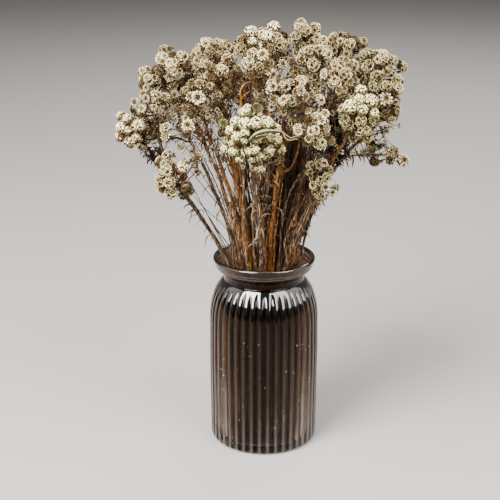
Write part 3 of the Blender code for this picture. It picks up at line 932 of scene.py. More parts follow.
def withered(name):
    """Dead leaf: black-brown to woolly grey-tan by its tone, with blotches and fine fibres."""
    made, tree, shader = new_material(name, Roughness=0.9, Specular_IOR_Level=0.1)
    tone = add_node(tree, "ShaderNodeAttribute", attribute_name="tone")
    stops = [
        (0.0, (0.00992, 0.00682, 0.00558)),
        (0.25, (0.0403, 0.0223, 0.013)),
        (0.5, (0.118, 0.0713, 0.0409)),
        (0.75, (0.236, 0.174, 0.115)),
        (1.0, (0.384, 0.329, 0.248)),
    ]
    base = ramp(tree, tone.outputs["Fac"], stops)
    fibre = add_fibre(tree, 1500, 220)
    lines = ramp(tree, fibre.outputs["Fibre"], [(0.0, (0.7, 0.68, 0.64)), (1.0, (1.15, 1.12, 1.08))])
    blotch = ramp(tree, fibre.outputs["Blotch"], [(0.1, (0.62, 0.55, 0.48)), (0.7, (1.05, 1.03, 1.0))])
    colour = mix_colours(tree, "MULTIPLY", 1.0, base, lines)
    colour = mix_colours(tree, "MULTIPLY", 1.0, colour, blotch)
    tree.links.new(colour, shader.inputs["Base Color"])
    add_relief(tree, shader, fibre.outputs["Fibre"], 0.6, 0.0003)
    return made


withered_leaf_surface = withered("withered_leaf")
withered_leaves = leaves.build("withered_leaves", [withered_leaf_surface])
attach(withered_leaves, "root")

# ------------------------------------------------------------------------- frayed fibres
# Strips of bark and wool that have split off the grey stems and cling along them, and the dark
# tangle of dead shoots deep inside the bunch, which the stems stand round. The shoots are dark
# partly in their own colour and partly as painted shade deep in the bunch.

FRAY_FROM = 0.172
FRAYS_PER_POINT = 1.32
FRAY_ROWS = 5
FRAY_LENGTH = (0.35, 0.95)
FRAY_WIDTH = (0.0002, 0.00045)
FRAY_OPENS = (1.1, 1.9)
FRAY_TONE = (0.62, 0.2)
FRAY_WANDER = 0.00025
FRAY_TIP_SHARE = 0.35
SHOOT_FAN_HEIGHT = 0.100
SHOOT_GROUPS = (
    # count, lowest and highest root, slope to the right, slope to the back, tone
    # near-black shoots: partly their own colour, partly painted shade
    (1500, (0.185, 0.300), (0.02, 0.19), (-0.06, 0.24), (0.0, 0.20)),
    (640, (0.185, 0.290), (-0.20, 0.02), (0.02, 0.30), (0.15, 0.50)),
    (620, (0.200, 0.300), (0.15, 0.36), (-0.02, 0.30), (0.15, 0.60)),
)
SHOOT_LENGTH = (0.014, 0.036)
SHOOT_WIDTH = (0.0005, 0.0010)
SHOOT_SCATTER = 0.09
SHOOT_BOW = 0.12


def ribbon(points, width, draw):
    """A narrow strip along a line of points, a little twisted: points and triangles."""
    ahead = np.gradient(points, axis=0)
    side = units(np.cross(ahead, draw.normal(0, 1, 3)))
    taper = np.linspace(1, FRAY_TIP_SHARE, len(points))[:, None] * width
    sheet = np.stack([points - side * taper, points + side * taper], axis=1).reshape(-1, 3)
    return sheet, strip_triangles(len(points), 2)


fray_draw = np.random.default_rng(450)
frays = Heap()
for node in stem_nodes:
    if slot_of[node] != "grey_bark":
        continue
    for points, radii in runs_of[node]:
        for k in range(len(points) - FRAY_ROWS):
            if points[k, 2] < FRAY_FROM:
                continue
            for _ in range(fray_draw.poisson(FRAYS_PER_POINT)):
                ahead = unit(points[k + 1] - points[k])
                out = unit(np.cross(ahead, fray_draw.normal(0, 1, 3)))
                off = radii[k] * np.linspace(1.02, fray_draw.uniform(*FRAY_OPENS), FRAY_ROWS)[:, None]
                reach = fray_draw.uniform(*FRAY_LENGTH) * (FRAY_ROWS - 1)
                along = k + np.linspace(0, reach, FRAY_ROWS) + fray_draw.uniform(0, 1)
                wander = fray_draw.normal(0, FRAY_WANDER, (FRAY_ROWS, 3))
                line = along_line(points, along) + out * off + wander
                tone = np.clip(fray_draw.normal(*FRAY_TONE), 0.1, 1)
                frays.add(*ribbon(line, fray_draw.uniform(*FRAY_WIDTH), fray_draw), value=tone)
for count, rise, slope_right, slope_back, tones in SHOOT_GROUPS:
    for _ in range(count):
        z = fray_draw.uniform(*rise)
        slope = np.array([fray_draw.uniform(*slope_right), fray_draw.uniform(*slope_back), 1.0])
        start = np.array([0, 0, SHOOT_FAN_HEIGHT]) + slope * (z - SHOOT_FAN_HEIGHT)
        heading = unit(slope + fray_draw.normal(0, SHOOT_SCATTER, 3))
        length = fray_draw.uniform(*SHOOT_LENGTH)
        share = np.linspace(0, 1, FRAY_ROWS)[:, None]
        bow = np.cross(heading, fray_draw.normal(0, SHOOT_BOW, 3)) * length
        line = start + heading * share * length + bow * share * (1 - share)
        shoot = ribbon(line, fray_draw.uniform(*SHOOT_WIDTH), fray_draw)
        frays.add(*shoot, value=fray_draw.uniform(*tones))
frayed_fibres = frays.build("frayed_fibres", [withered_leaf_surface])
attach(frayed_fibres, "root")

# ------------------------------------------------------------------------- flower clusters
# Each cluster is a corymb of small everlasting heads, gathered in round balls on short woolly
# branchlets. A head is a ring of dry, papery, white bracts round a small brown disc. Some
# balls are fully open, others are half open or still tight, greenish-white buds.

# The balls that show best, by cluster: x, y, z and radius in mm, and how far they are open:
# f fine buds, p pointed buds, h half open, o open, b open and brown, g open and greyed, s one
# broad head. Each ball was picked by eye from the front, and another script worked out its
# place and wrote these rows.
FRONT_LOBES = {
    1: (
        (-136, -4, 335, 5.5, "f"), (-129, -16, 335, 5.8, "f"), (-123, -10, 339, 3.9, "b"),
        (-134, -21, 328, 6.3, "f"), (-128, -23, 326, 4.7, "f"), (-119, -20, 329, 7.5, "f"),
        (-126, -22, 315, 7, "f"), (-121, -23, 319, 5.1, "f"), (-107, -7, 329, 4.4, "b"),
        (-108, -8, 322, 3.2, "b"),
    ),
    2: (
        (-113, -14, 358, 4.7, "b"), (-122, -13, 350, 4.7, "o"), (-123, -14, 344, 3.9, "b"),
        (-112, -19, 355, 4.8, "o"), (-114, -24, 346, 4.8, "o"), (-102, -14, 357, 5.1, "o"),
        (-93, -9, 354, 4.2, "o"), (-103, -23, 346, 4.6, "g"), (-95, -11, 346, 4.9, "g"),
        (-101, -14, 336, 3.9, "o"),
    ),
    3: (
        (-95, 6, 396, 5.1, "o"), (-88, -3, 398, 3.7, "g"), (-95, -12, 391, 6, "o"),
        (-77, -9, 392, 6.5, "o"), (-86, -17, 386, 6.9, "o"), (-82, -15, 378, 6, "o"),
        (-89, -3, 372, 4.7, "s"), (-87, -3, 364, 5.2, "o"), (-73, -10, 384, 5.6, "g"),
        (-78, -1, 369, 5.2, "g"), (-70, 0, 375, 5.6, "g"),
    ),
    4: (
        (-114, -7, 378, 5.1, "o"), (-102, -3, 379, 4.7, "b"), (-109, -12, 372, 5.1, "o"),
        (-109, -10, 363, 5.6, "b"), (-97, 3, 367, 4.3, "b"),
    ),
    5: (
        (-55, -13, 405, 6, "o"), (-44, -16, 404, 5.9, "o"), (-60, -20, 398, 5.5, "o"),
        (-50, -24, 398, 6.4, "g"), (-62, -17, 389, 6, "o"), (-53, -23, 389, 5.9, "o"),
        (-42, -22, 396, 5.5, "g"), (-34, -7, 400, 6, "o"),
    ),
    6: (
        (-33, -51, 396, 6.2, "o"), (-48, -62, 381, 4.9, "b"), (-40, -62, 389, 5.7, "o"),
        (-48, -60, 390, 4.9, "b"), (-37, -54, 365, 3.6, "b"), (-33, -60, 375, 4.4, "g"),
        (-26, -57, 385, 4.9, "g"), (-31, -63, 384, 4.4, "g"),
    ),
    7: (
        (-80, -74, 369, 4, "g"), (-69, -82, 359, 3.9, "g"), (-77, -76, 358, 4, "g"),
        (-59, -84, 368, 6.9, "s"), (-66, -85, 370, 3.5, "g"), (-52, -82, 365, 3.9, "g"),
        (-65, -79, 355, 5.3, "g"), (-57, -75, 354, 4.8, "g"), (-57, -80, 379, 5.2, "g"),
        (-49, -75, 376, 5.2, "g"), (-64, -80, 380, 4.3, "g"), (-42, -76, 351, 4, "g"),
    ),
    8: (
        (-88, -83, 341, 4.8, "o"), (-88, -85, 334, 3.5, "o"), (-75, -86, 326, 3.3, "o"),
        (-68, -89, 345, 6.1, "s"), (-61, -83, 346, 3.9, "g"), (-63, -87, 322, 2.8, "o"),
    ),
    9: (
        (-89, -40, 306, 6, "g"), (-97, -40, 300, 5.4, "h"), (-91, -52, 300, 5.5, "o"),
        (-91, -56, 294, 6.8, "o"), (-96, -57, 286, 6.2, "h"), (-88, -60, 286, 5.5, "o"),
        (-77, -51, 297, 6.9, "f"), (-74, -41, 301, 4.6, "f"), (-87, -57, 275, 6.6, "h"),
        (-76, -49, 271, 5.1, "g"), (-73, -52, 279, 6, "g"), (-70, -48, 274, 4.6, "h"),
        (-62, -40, 304, 5.6, "h"), (-66, -41, 299, 4.6, "b"), (-64, -43, 292, 5.1, "h"),
    ),
    10: (
        (-27, -4, 402, 4.6, "b"), (-23, -13, 400, 6, "h"), (-13, -7, 414, 7.4, "f"),
        (-12, -13, 407, 5, "f"),
    ),
    11: (
        (8, -7, 418, 7.3, "f"), (3, -16, 412, 6.4, "f"), (10, -18, 411, 5.5, "h"),
        (-3, -8, 403, 6, "f"), (13, -18, 405, 7.3, "h"), (18, -8, 392, 6, "h"),
    ),
    12: (
        (-12, -66, 404, 5.2, "o"), (-15, -69, 395, 7, "o"), (-3, -68, 403, 5.7, "s"),
        (-5, -76, 393, 4.8, "b"), (-11, -75, 388, 4.4, "b"), (14, -63, 394, 4.4, "b"),
        (4, -72, 388, 6.1, "o"), (2, -73, 396, 4.8, "b"), (-7, -69, 378, 4.4, "g"),
        (-6, -67, 370, 4.9, "o"),
    ),
    13: (
        (33, -7, 420, 6.9, "o"), (38, -11, 416, 6, "h"), (28, -12, 410, 6, "h"), (46, -3, 417, 6, "h"),
        (46, -9, 410, 5.5, "h"), (44, -11, 405, 6.4, "h"),
    ),
    14: (
        (39, -47, 402, 6.2, "h"), (47, -46, 404, 5.3, "h"), (54, -46, 401, 5.8, "o"),
        (34, -44, 400, 5.4, "h"), (32, -47, 396, 5.3, "h"), (43, -54, 392, 6.2, "h"),
        (25, -42, 392, 4.5, "g"), (43, -48, 380, 6.3, "h"), (46, -47, 372, 6.3, "h"),
    ),
    15: (
        (64, -6, 408, 6.5, "h"), (62, -10, 398, 6, "h"), (70, -14, 406, 5, "h"),
        (77, -15, 404, 6.4, "h"), (75, -16, 396, 6, "h"), (89, -7, 405, 6, "b"),
    ),
    16: (
        (94, -10, 394, 7.4, "h"), (95, -19, 385, 6.4, "h"), (107, -18, 392, 7.3, "o"),
        (116, -16, 390, 6, "h"), (126, -9, 383, 6.5, "h"), (114, -18, 381, 6.4, "b"),
    ),
    17: (
        (121, -33, 374, 5.9, "h"), (120, -37, 368, 5.9, "o"), (103, -27, 376, 6.9, "h"),
        (110, -38, 370, 5.9, "h"), (99, -33, 368, 5.5, "g"), (110, -35, 358, 6.8, "s"),
    ),
    18: (
        (54, -58, 384, 6.2, "o"), (77, -53, 391, 6.2, "h"), (69, -51, 395, 5.3, "g"),
        (63, -59, 391, 7.1, "o"), (57, -61, 384, 5.3, "h"), (70, -64, 385, 6.6, "h"),
        (61, -64, 378, 6.2, "o"), (74, -64, 377, 5.3, "b"), (67, -65, 371, 5.7, "b"),
        (74, -57, 366, 6.7, "f"),
    ),
    19: (
        (119, -25, 351, 5.5, "h"), (108, -23, 350, 4.6, "o"), (112, -27, 341, 5.5, "b"),
        (117, -26, 337, 5.1, "o"), (121, -27, 344, 4.6, "b"), (107, -23, 338, 4.6, "g"),
    ),
    20: (
        (105, -9, 293, 5.3, "b"), (112, -6, 307, 3.6, "o"), (122, -12, 302, 6.2, "h"),
        (120, -10, 294, 4.8, "h"), (132, -14, 295, 6.2, "s"),
    ),
    21: (
        (84, -62, 370, 6.6, "f"), (92, -69, 362, 7.9, "f"), (75, -73, 358, 7.9, "f"),
        (82, -73, 364, 6.1, "f"), (95, -72, 352, 5.7, "f"), (85, -76, 356, 5.7, "f"),
        (73, -73, 342, 5.3, "h"), (70, -71, 348, 4.4, "g"), (84, -76, 346, 5.3, "h"),
        (93, -75, 345, 3.1, "g"), (89, -73, 338, 5.8, "o"), (79, -66, 329, 4.9, "h"),
        (92, -68, 330, 5.4, "h"), (84, -75, 337, 4.4, "h"), (95, -71, 320, 4, "b"),
        (88, -70, 318, 2.7, "g"),
    ),
    22: (
        (25, -81, 392, 5.2, "g"), (5, -91, 380, 5.6, "o"), (15, -93, 380, 6, "g"),
        (30, -86, 383, 5.6, "o"), (-6, -86, 366, 3.7, "o"), (0, -86, 363, 3.3, "b"),
        (6, -95, 369, 3.8, "b"), (5, -92, 377, 5.6, "o"), (6, -87, 361, 3.8, "o"),
        (15, -97, 369, 4.8, "s"), (13, -95, 364, 4, "b"), (20, -97, 370, 4.5, "o"),
        (17, -88, 357, 4.3, "o"), (28, -94, 376, 5.6, "o"), (32, -94, 372, 4.5, "o"),
        (35, -90, 366, 4.8, "b"), (39, -86, 370, 4.5, "o"), (30, -88, 360, 3.5, "b"),
    ),
    23: (
        (46, -82, 366, 5.9, "o"), (30, -83, 353, 3.1, "b"), (38, -88, 357, 3.6, "o"),
        (24, -84, 347, 5.3, "o"), (37, -96, 352, 4.1, "b"), (34, -97, 346, 4.3, "b"),
        (28, -92, 342, 4.8, "o"), (44, -95, 353, 5.2, "o"), (51, -89, 355, 4.3, "o"),
        (49, -96, 350, 4.7, "o"), (50, -97, 344, 4.7, "o"), (41, -100, 343, 5.3, "o"),
        (38, -98, 337, 4.5, "o"), (35, -96, 332, 4.3, "b"), (47, -95, 331, 6.1, "o"),
        (56, -90, 332, 4.8, "o"), (45, -100, 339, 4.3, "o"),
    ),
    24: (
        (-37, -97, 348, 4.3, "g"), (-38, -99, 341, 3.5, "g"), (-18, -100, 358, 6.4, "f"),
        (-16, -94, 362, 3.5, "f"), (-26, -104, 351, 5.6, "f"), (-18, -112, 351, 6.8, "f"),
        (-9, -113, 352, 6.4, "f"), (0, -112, 351, 5.3, "f"), (-30, -109, 345, 5.5, "f"),
        (-25, -115, 341, 5.5, "f"), (-18, -117, 344, 5.1, "f"), (-34, -104, 328, 5.6, "f"),
        (-27, -112, 328, 6.2, "f"), (-29, -114, 335, 3.8, "f"), (-17, -119, 329, 5.3, "f"),
        (-10, -119, 331, 5.5, "f"), (-19, -119, 338, 3.8, "f"), (-8, -119, 340, 5.1, "f"),
        (0, -117, 342, 5.5, "p"), (7, -112, 338, 6, "p"), (10, -104, 327, 6.5, "p"),
        (2, -117, 330, 4.9, "p"), (-5, -117, 325, 4.7, "p"), (-22, -112, 321, 5.1, "f"),
        (-12, -115, 322, 4.3, "f"), (-6, -109, 313, 5.6, "p"), (-8, -94, 362, 3.5, "b"),
    ),
    25: (
        (43, -51, 298, 5.8, "h"), (52, -56, 302, 5.6, "o"), (41, -55, 294, 3.8, "h"),
        (45, -59, 283, 5, "o"), (50, -63, 288, 3.8, "h"), (54, -62, 283, 4.4, "o"),
        (56, -61, 291, 4.6, "h"), (62, -56, 275, 4.2, "s"), (54, -56, 271, 4.2, "h"),
        (49, -56, 273, 4.4, "h"), (65, -55, 280, 3.9, "o"), (46, -54, 275, 3.3, "h"),
    ),
}
KIND_OF_CLUSTER = {1: "f", 9: "h", 10: "f", 16: "h", 17: "h", 18: "h", 20: "h", 21: "f", 24: "f", 25: "h"}
TINT_OF_CLUSTER = {1: 0.10, 5: 0.12, 6: 0.14, 12: 0.04, 15: 0.12, 17: 0.06, 18: 0.12, 19: 0.06, 25: -0.08}
HEAD_RADIUS = {
    "f": 0.00122, "p": 0.0015, "h": 0.0027, "o": 0.0038, "b": 0.0038, "g": 0.0037, "s": 0.0040
}
HEAD_SPACING = {
    "f": 0.0022, "p": 0.0027, "h": 0.0047, "o": 0.0064, "b": 0.0064, "g": 0.0060, "s": 0.0068
}
BALL_RADIUS = (0.0050, 0.0070)
BALL_SPACING = 0.0118
CLOSEST_PACKING = 0.87
CORE_CORNERS = 22
STALK_POINTS = 5
STALK_RADIUS = (0.0007, 0.0005)
STALK_WANDER = 0.0015
STALK_SAG = 0.003
OPEN_WHORLS = (
    # bracts, then (radius, height) at the base, the middle and the tip, and half width
    (8, (0.30, 0.05), (0.44, 0.34), (0.58, 0.52), 0.16),
    (9, (0.36, -0.05), (0.66, 0.28), (0.86, 0.34), 0.20),
    (10, (0.42, -0.25), (0.84, 0.00), (1.10, -0.10), 0.22),
)
SMALL_WHORLS = (
    (8, (0.30, 0.05), (0.48, 0.34), (0.66, 0.46), 0.20),
    (9, (0.40, -0.25), (0.80, 0.06), (1.06, -0.06), 0.26),
)
CUP_WHORLS = (
    (8, (0.46, -0.35), (0.76, 0.14), (0.72, 0.52), 0.24),
    (9, (0.44, -0.40), (0.92, -0.08), (1.12, 0.10), 0.24),
)
CLOSED_WHORLS = (
    (5, (0.30, -0.10), (0.54, 0.46), (0.14, 0.94), 0.36),
    (6, (0.45, -0.55), (0.98, -0.02), (0.66, 0.66), 0.42),
)
OPEN_DISC = (0.38, 0.10, 0.10)
CUP_DISC = (0.56, -0.10, 0.10)
BEAD_RINGS = ((0.70, -0.45), (1.00, 0.12), (0.62, 0.70))
BEAD_SIDES = 5
BRACT_POINT = 0.32
# painted shade: how much the heads on the sides and undersides of a ball are darkened, and how much more on
# buds
PAINTED_SHADE_TURNED_AWAY = 1.1
BUDS_PAINTED_SHADE_GAIN = 1.6
BARE_BACKS = (10, 11, 13)
NAMED_TOPS = (10,)
GREENISH = (21, 24)
LOOKING_OUT = (0.0, -0.93, 0.36)
CLEARED_AROUND = 0.62
# How the balls fill a cluster: lengths in metres, and the rest are shares or cosines.
BUD_BALL_SHARE = 0.88
BALL_CENTRES_DEEP = 0.005
LEAST_SHELL = 0.006
SUNK_BALLS = (0.75, 1.35)
BALLS_FACE_FORWARD = (0, -0.004, 0)
BARE_ROUND_STEM = 0.85
TOP_FROM = 0.3
CLEAR_OF_NAMED_BALLS = 0.80
# How the heads cover a ball: shares of a radius, cosines, and spreads of a direction.
HEADS_SUNK = 0.55
LEAST_SPHERE = 0.45
LEAST_CORE = 0.3
HEADS_MEET_AT = 0.2
HEAD_SCATTER = 0.09
HEAD_HEIGHTS = (0.92, 1.06)
HEAD_SIZES = (0.85, 1.15)
BROAD_HEAD_SHARE = 0.85
HEADS_REACH_BACK = -0.25
BARE_BACKS_REACH_BACK = -0.80
HIDDEN_IN_NEXT_BALL = 0.72
HEADS_LEAN_OUT = 0.25
HEAD_TILT = 0.10


def bracts(whorls, draw, looseness):
    """Papery bracts in whorls, each a cupped blade: points, triangles and 0-to-1 length."""
    points, triangles, lengths = [], [], []
    up = np.array([0, 0, 1.0])
    for count, base, middle, tip, width in whorls:
        twist = draw.uniform(0, 2 * math.pi)
        for i in range(count):
            turn = twist + (i + draw.uniform(-0.22, 0.22)) * 2 * math.pi / count
            lean = draw.normal(0, looseness)
            out = np.array([math.cos(turn), math.sin(turn), 0])
            side = np.array([-math.sin(turn), math.cos(turn), 0])
            low = out * base[0] + up * base[1]
            mid = out * (middle[0] + lean * 0.4) + up * (middle[1] - lean * 0.3)
            end = out * (tip[0] + lean) + up * (tip[1] - lean * 0.6)
            start = len(points)
            points += [
                low,
                mid - side * width - up * 0.05,
                mid + up * 0.05,
                mid + side * width - up * 0.05,
                end - side * width * BRACT_POINT,
                end + side * width * BRACT_POINT,
            ]
            lengths += [0, 0.6, 0.6, 0.6, 1, 1]
            faces = ((0, 2, 1), (0, 3, 2), (1, 2, 4), (2, 5, 4), (2, 3, 5))
            triangles += [(start + a, start + b, start + c) for a, b, c in faces]
    return np.array(points), np.array(triangles), np.array(lengths)


def dome(radius, height, rise, sides, rings):
    """A low dome: points, triangles, and 0-to-1 distance from the middle."""
    points, spread = [(0, 0, height + rise)], [0.0]
    for ring in range(1, rings + 1):
        share = ring / rings
        for i in range(sides):
            turn = (i + 0.5 * ring) * 2 * math.pi / sides
            level = height + rise * (1 - share**2)
            points.append((radius * share * math.cos(turn), radius * share * math.sin(turn), level))
            spread.append(share)
    triangles = [(0, 1 + i, 1 + (i + 1) % sides) for i in range(sides)]
    for ring in range(rings - 1):
        low, high = 1 + ring * sides, 1 + (ring + 1) * sides
        for i in range(sides):
            j = (i + 1) % sides
            triangles += [(low + i, high + i, high + j), (low + i, high + j, low + j)]
    return np.array(points), np.array(triangles), np.array(spread)


def open_head(whorls, disc_shape, draw, looseness, disc_sides, disc_rings):
    """A head of radius 1, facing +Z: points, triangles, slots, lengths, and disc points."""
    blades = bracts(whorls, draw, looseness)
    disc = dome(*disc_shape, disc_sides, disc_rings)
    points = np.concatenate([blades[0], disc[0]])
    triangles = np.concatenate([blades[1], disc[1] + len(blades[0])])
    slots = np.repeat([0, 1], [len(blades[1]), len(disc[1])])
    is_disc = np.repeat([False, True], [len(blades[0]), len(disc[0])])
    return points, triangles, slots, np.concatenate([blades[2], disc[2]]), is_disc


def closed_head(draw, stretch):
    """A head whose bracts have not opened, lapped to a point, stretched along its axis."""
    points, triangles, lengths = bracts(CLOSED_WHORLS, draw, 0.06)
    return points * (1, 1, stretch), triangles, np.zeros(len(triangles), int), lengths, lengths < 0


def bead(draw):
    """The smallest, tightest bud: points, triangles, slots, lengths, and disc points."""
    points, lengths = [], []
    for ring, (radius, height) in enumerate(BEAD_RINGS):
        for i in range(BEAD_SIDES):
            turn = (i + 0.5 * ring) * 2 * math.pi / BEAD_SIDES
            lap = 1 + draw.uniform(-0.14, 0.14)
            points.append((radius * lap * math.cos(turn), radius * lap * math.sin(turn), height * lap))
            # the low rings take the dark base colour, partly painted shade between the beads
            lengths.append((0.0, 0.45, 0.85)[ring])
    points.append((0, 0, 0.92))
    lengths.append(1.0)
    triangles = []
    for ring in range(len(BEAD_RINGS) - 1):
        for i in range(BEAD_SIDES):
            j = (i + 1) % BEAD_SIDES
            low, high = ring * BEAD_SIDES, (ring + 1) * BEAD_SIDES
            triangles += [(low + i, low + j, high + i), (low + j, high + j, high + i)]
    last = (len(BEAD_RINGS) - 1) * BEAD_SIDES
    triangles += [(last + i, last + (i + 1) % BEAD_SIDES, len(points) - 1) for i in range(BEAD_SIDES)]
    lengths = np.array(lengths)
    return np.array(points), np.array(triangles), np.zeros(len(triangles), int), lengths, lengths < 0


def golden(count, turn):
    """Directions spread evenly over a sphere."""
    i = np.arange(count)
    z = 1 - (2 * i + 1) / count
    flat = np.sqrt(1 - z * z)
    angle = turn + i * math.pi * (3 - math.sqrt(5))
    return np.stack([flat * np.cos(angle), flat * np.sin(angle), z], axis=1)


def frame_along(axis, spin):
    """A rotation that turns +Z to an axis and spins about it."""
    helper = np.array([0.0, 0.0, 1.0]) if abs(axis[2]) < 0.9 else np.array([1.0, 0.0, 0.0])
    x = unit(np.cross(helper, axis))
    turned = math.cos(spin) * x + math.sin(spin) * np.cross(axis, x)
    return np.stack([turned, np.cross(axis, turned), axis], axis=1)


head_draw = np.random.default_rng(7)
fine_heads = [open_head(OPEN_WHORLS, OPEN_DISC, head_draw, 0.07, 8, 2) for _ in range(6)]
small_heads = [open_head(SMALL_WHORLS, OPEN_DISC, head_draw, 0.07, 6, 1) for _ in range(6)]
cup_heads = [open_head(CUP_WHORLS, CUP_DISC, head_draw, 0.06, 6, 1) for _ in range(6)]
pointed_heads = [closed_head(head_draw, 1.7) for _ in range(5)]
beads = [bead(head_draw) for _ in range(6)]
SHAPES_OF_KIND = {"f": beads, "p": pointed_heads, "h": cup_heads}


def papery(name, base, middle, tip, toned):
    """Dry bracts, finely lined: straw to white from base to tip, with painted shade darkening the base; a
    high tone gives old heads and painted shade on the sides of balls.
    """
    made, tree, shader = new_material(name, Roughness=0.6, Specular_IOR_Level=0.15)
    length = add_node(tree, "ShaderNodeAttribute", attribute_name="length")
    age = add_node(tree, "ShaderNodeAttribute", attribute_name="tone")
    # the dark base and middle are partly the bracts' own straw-brown and partly painted shade deep inside
    # each head
    fresh = ramp(tree, length.outputs["Fac"], [(0.0, base), (0.48, middle), (0.78, tip)])
    # the old colours serve for old heads and for the painted shade on the sides of balls
    old = ramp(tree, length.outputs["Fac"], [(0.0, (0.036, 0.021, 0.010)), (0.6, toned), (1.0, middle)])
    age_and_shade = rescaled(tree, age.outputs["Fac"], from_min=0.26, from_max=0.92)
    colour = mix_colours(tree, "MIX", age_and_shade, fresh, old)
    fibre = add_fibre(tree, 2600, 560)
    lines = ramp(tree, fibre.outputs["Fibre"], [(0.0, (0.86, 0.82, 0.74)), (0.6, (1.0, 1.0, 1.0))])
    stain = ramp(tree, fibre.outputs["Blotch"], [(0.36, (0.46, 0.40, 0.30)), (0.52, (1.0, 1.0, 1.0))])
    colour = mix_colours(tree, "MULTIPLY", 1.0, colour, lines)
    colour = mix_colours(tree, "MULTIPLY", 1.0, colour, stain)
    tree.links.new(colour, shader.inputs["Base Color"])
    add_relief(tree, shader, fibre.outputs["Fibre"], 0.3, 0.0002)
    return made


def disc_florets():
    """The granular middle of a head: dark at its point, each head its own brown."""
    made, tree, shader = new_material("disc_florets", Roughness=0.85, Specular_IOR_Level=0.1)
    age = add_node(tree, "ShaderNodeAttribute", attribute_name="tone")
    spread = add_node(tree, "ShaderNodeAttribute", attribute_name="length")
    stops = [
        (0.0, (0.40, 0.27, 0.065)),
        (0.22, (0.24, 0.150, 0.040)),
        (0.45, (0.135, 0.078, 0.024)),
        (0.75, (0.075, 0.052, 0.018)),
        (1.0, (0.030, 0.020, 0.009)),
    ]
    colour = ramp(tree, age.outputs["Fac"], stops)
    rings = [(0.0, (0.25, 0.22, 0.18)), (0.55, (0.8, 0.8, 0.8)), (1, (1, 1, 1))]
    ringed = ramp(tree, spread.outputs["Fac"], rings)
    colour = mix_colours(tree, "MULTIPLY", 1.0, colour, ringed)
    place = add_node(tree, "ShaderNodeTexCoord")
    grains = add_node(tree, "ShaderNodeTexVoronoi", {"Scale": 2200})
    tree.links.new(place.outputs["Object"], grains.inputs["Vector"])
    shade = ramp(tree, grains.outputs["Distance"], [(0.0, (1.1, 1.05, 1.0)), (0.6, (0.45, 0.4, 0.36))])
    tree.links.new(mix_colours(tree, "MULTIPLY", 1.0, colour, shade), shader.inputs["Base Color"])
    add_relief(tree, shader, grains.outputs["Distance"], 0.6, 0.0003)
    return made


white_bracts = papery(
    "white_bracts",
    base=(0.026, 0.014, 0.004),
    middle=(0.185, 0.128, 0.052),
    tip=(1.0, 0.885, 0.53),
    toned=(0.078, 0.048, 0.019),
)
green_white_bracts = papery(
    "green_white_bracts",
    base=(0.028, 0.023, 0.006),
    middle=(0.185, 0.155, 0.055),
    tip=(0.93, 0.86, 0.46),
    toned=(0.078, 0.063, 0.020),
)
brown_disc = disc_florets()
TONE_OF_KIND = {
    "f": (0.10, 0.30), "p": (0.05, 0.30), "h": (0.0, 0.34), "o": (0.0, 0.36), "b": (0.42, 0.80),
    "g": (0.40, 0.95), "s": (0.0, 0.25)
}
DISC_OF_KIND = {
    "f": (0, 0), "p": (0, 0), "h": (0.40, 1.0), "o": (0.05, 0.90), "b": (0.30, 0.8), "g": (0.5, 1.0),
    "s": (0.45, 0.85)
}
woolly_core = bark(
    "woolly_core", (0.034, 0.023, 0.011), (0.095, 0.070, 0.036), (0.23, 0.18, 0.11), 0.9, 900, 0.6
)

tips = np.array([points[-1] for runs in runs_of.values() for points, _ in runs])
cluster_nodes = sorted(name for name in frame["nodes"] if name.startswith("flower_cluster"))


def ball_core(draw):
    """A lumpy round core of radius 1, which carries a ball's heads."""
    points = golden(CORE_CORNERS, 0.4) * draw.uniform(0.86, 1.06, (CORE_CORNERS, 1))
    hull = bmesh.new()
    for point in points:
        hull.verts.new(point)
    bmesh.ops.convex_hull(hull, input=hull.verts)
    bmesh.ops.triangulate(hull, faces=hull.faces)
    hull.verts.index_update()
    corners = np.array([v.co for v in hull.verts])
    triangles = np.array([[v.index for v in f.verts] for f in hull.faces])
    hull.free()
    return corners, triangles


core_shapes = [ball_core(head_draw) for _ in range(3)]


def how_many(radius, spacing):
    """How many things so far apart fit on a sphere."""
    return round(4 * math.pi * radius**2 / (CLOSEST_PACKING * spacing**2))


def point_values(points, tone, length):
    """The same tone and length for every point of a shape."""
    return np.tile([tone, length], (len(points), 1))


def balls_of(number, node, tip, draw):
    """The balls of a cluster: centre, radius, kind and outward direction of each."""
    mesh = frame["nodes"][node].data
    surface = BVHTree.FromPolygons([v.co for v in mesh.vertices], [p.vertices for p in mesh.polygons])
    low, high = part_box(node)
    middle = np.array((low + high) / 2)
    mean = sum(high - low) / 6
    balls = []
    for x, y, z, radius, kind in FRONT_LOBES.get(number, ()):
        centre = np.array([x, y, z]) / 1000
        apart = BUD_BALL_SHARE if kind in "fp" else 1
        outward = unit(centre - middle + BALLS_FACE_FORWARD)
        balls.append((centre, radius / 1000 * apart, kind, outward))
    placed = len(balls)
    shell = max(LEAST_SHELL, mean - BALL_CENTRES_DEEP)
    down = unit(tip - middle)
    usual = KIND_OF_CLUSTER.get(number, "o")
    for toward in golden(how_many(shell, BALL_SPACING), number * 0.9):
        if toward @ down > BARE_ROUND_STEM or (number in NAMED_TOPS and toward[2] > TOP_FROM):
            continue
        radius = draw.uniform(*BALL_RADIUS)
        reach = (surface.ray_cast(Vector(middle), Vector(toward))[0] - Vector(middle)).length
        centre = middle + toward * (reach - radius * draw.uniform(*SUNK_BALLS))
        kind = usual if usual in "fh" or draw.random() < 0.5 else draw.choice(["o", "b", "g", "h"])
        apart = [np.linalg.norm(centre - c) / (radius + r) for c, r, _, _ in balls[:placed]]
        if min(apart, default=1) < CLEAR_OF_NAMED_BALLS:
            continue
        balls.append((centre, radius, kind, toward))
    return middle, balls


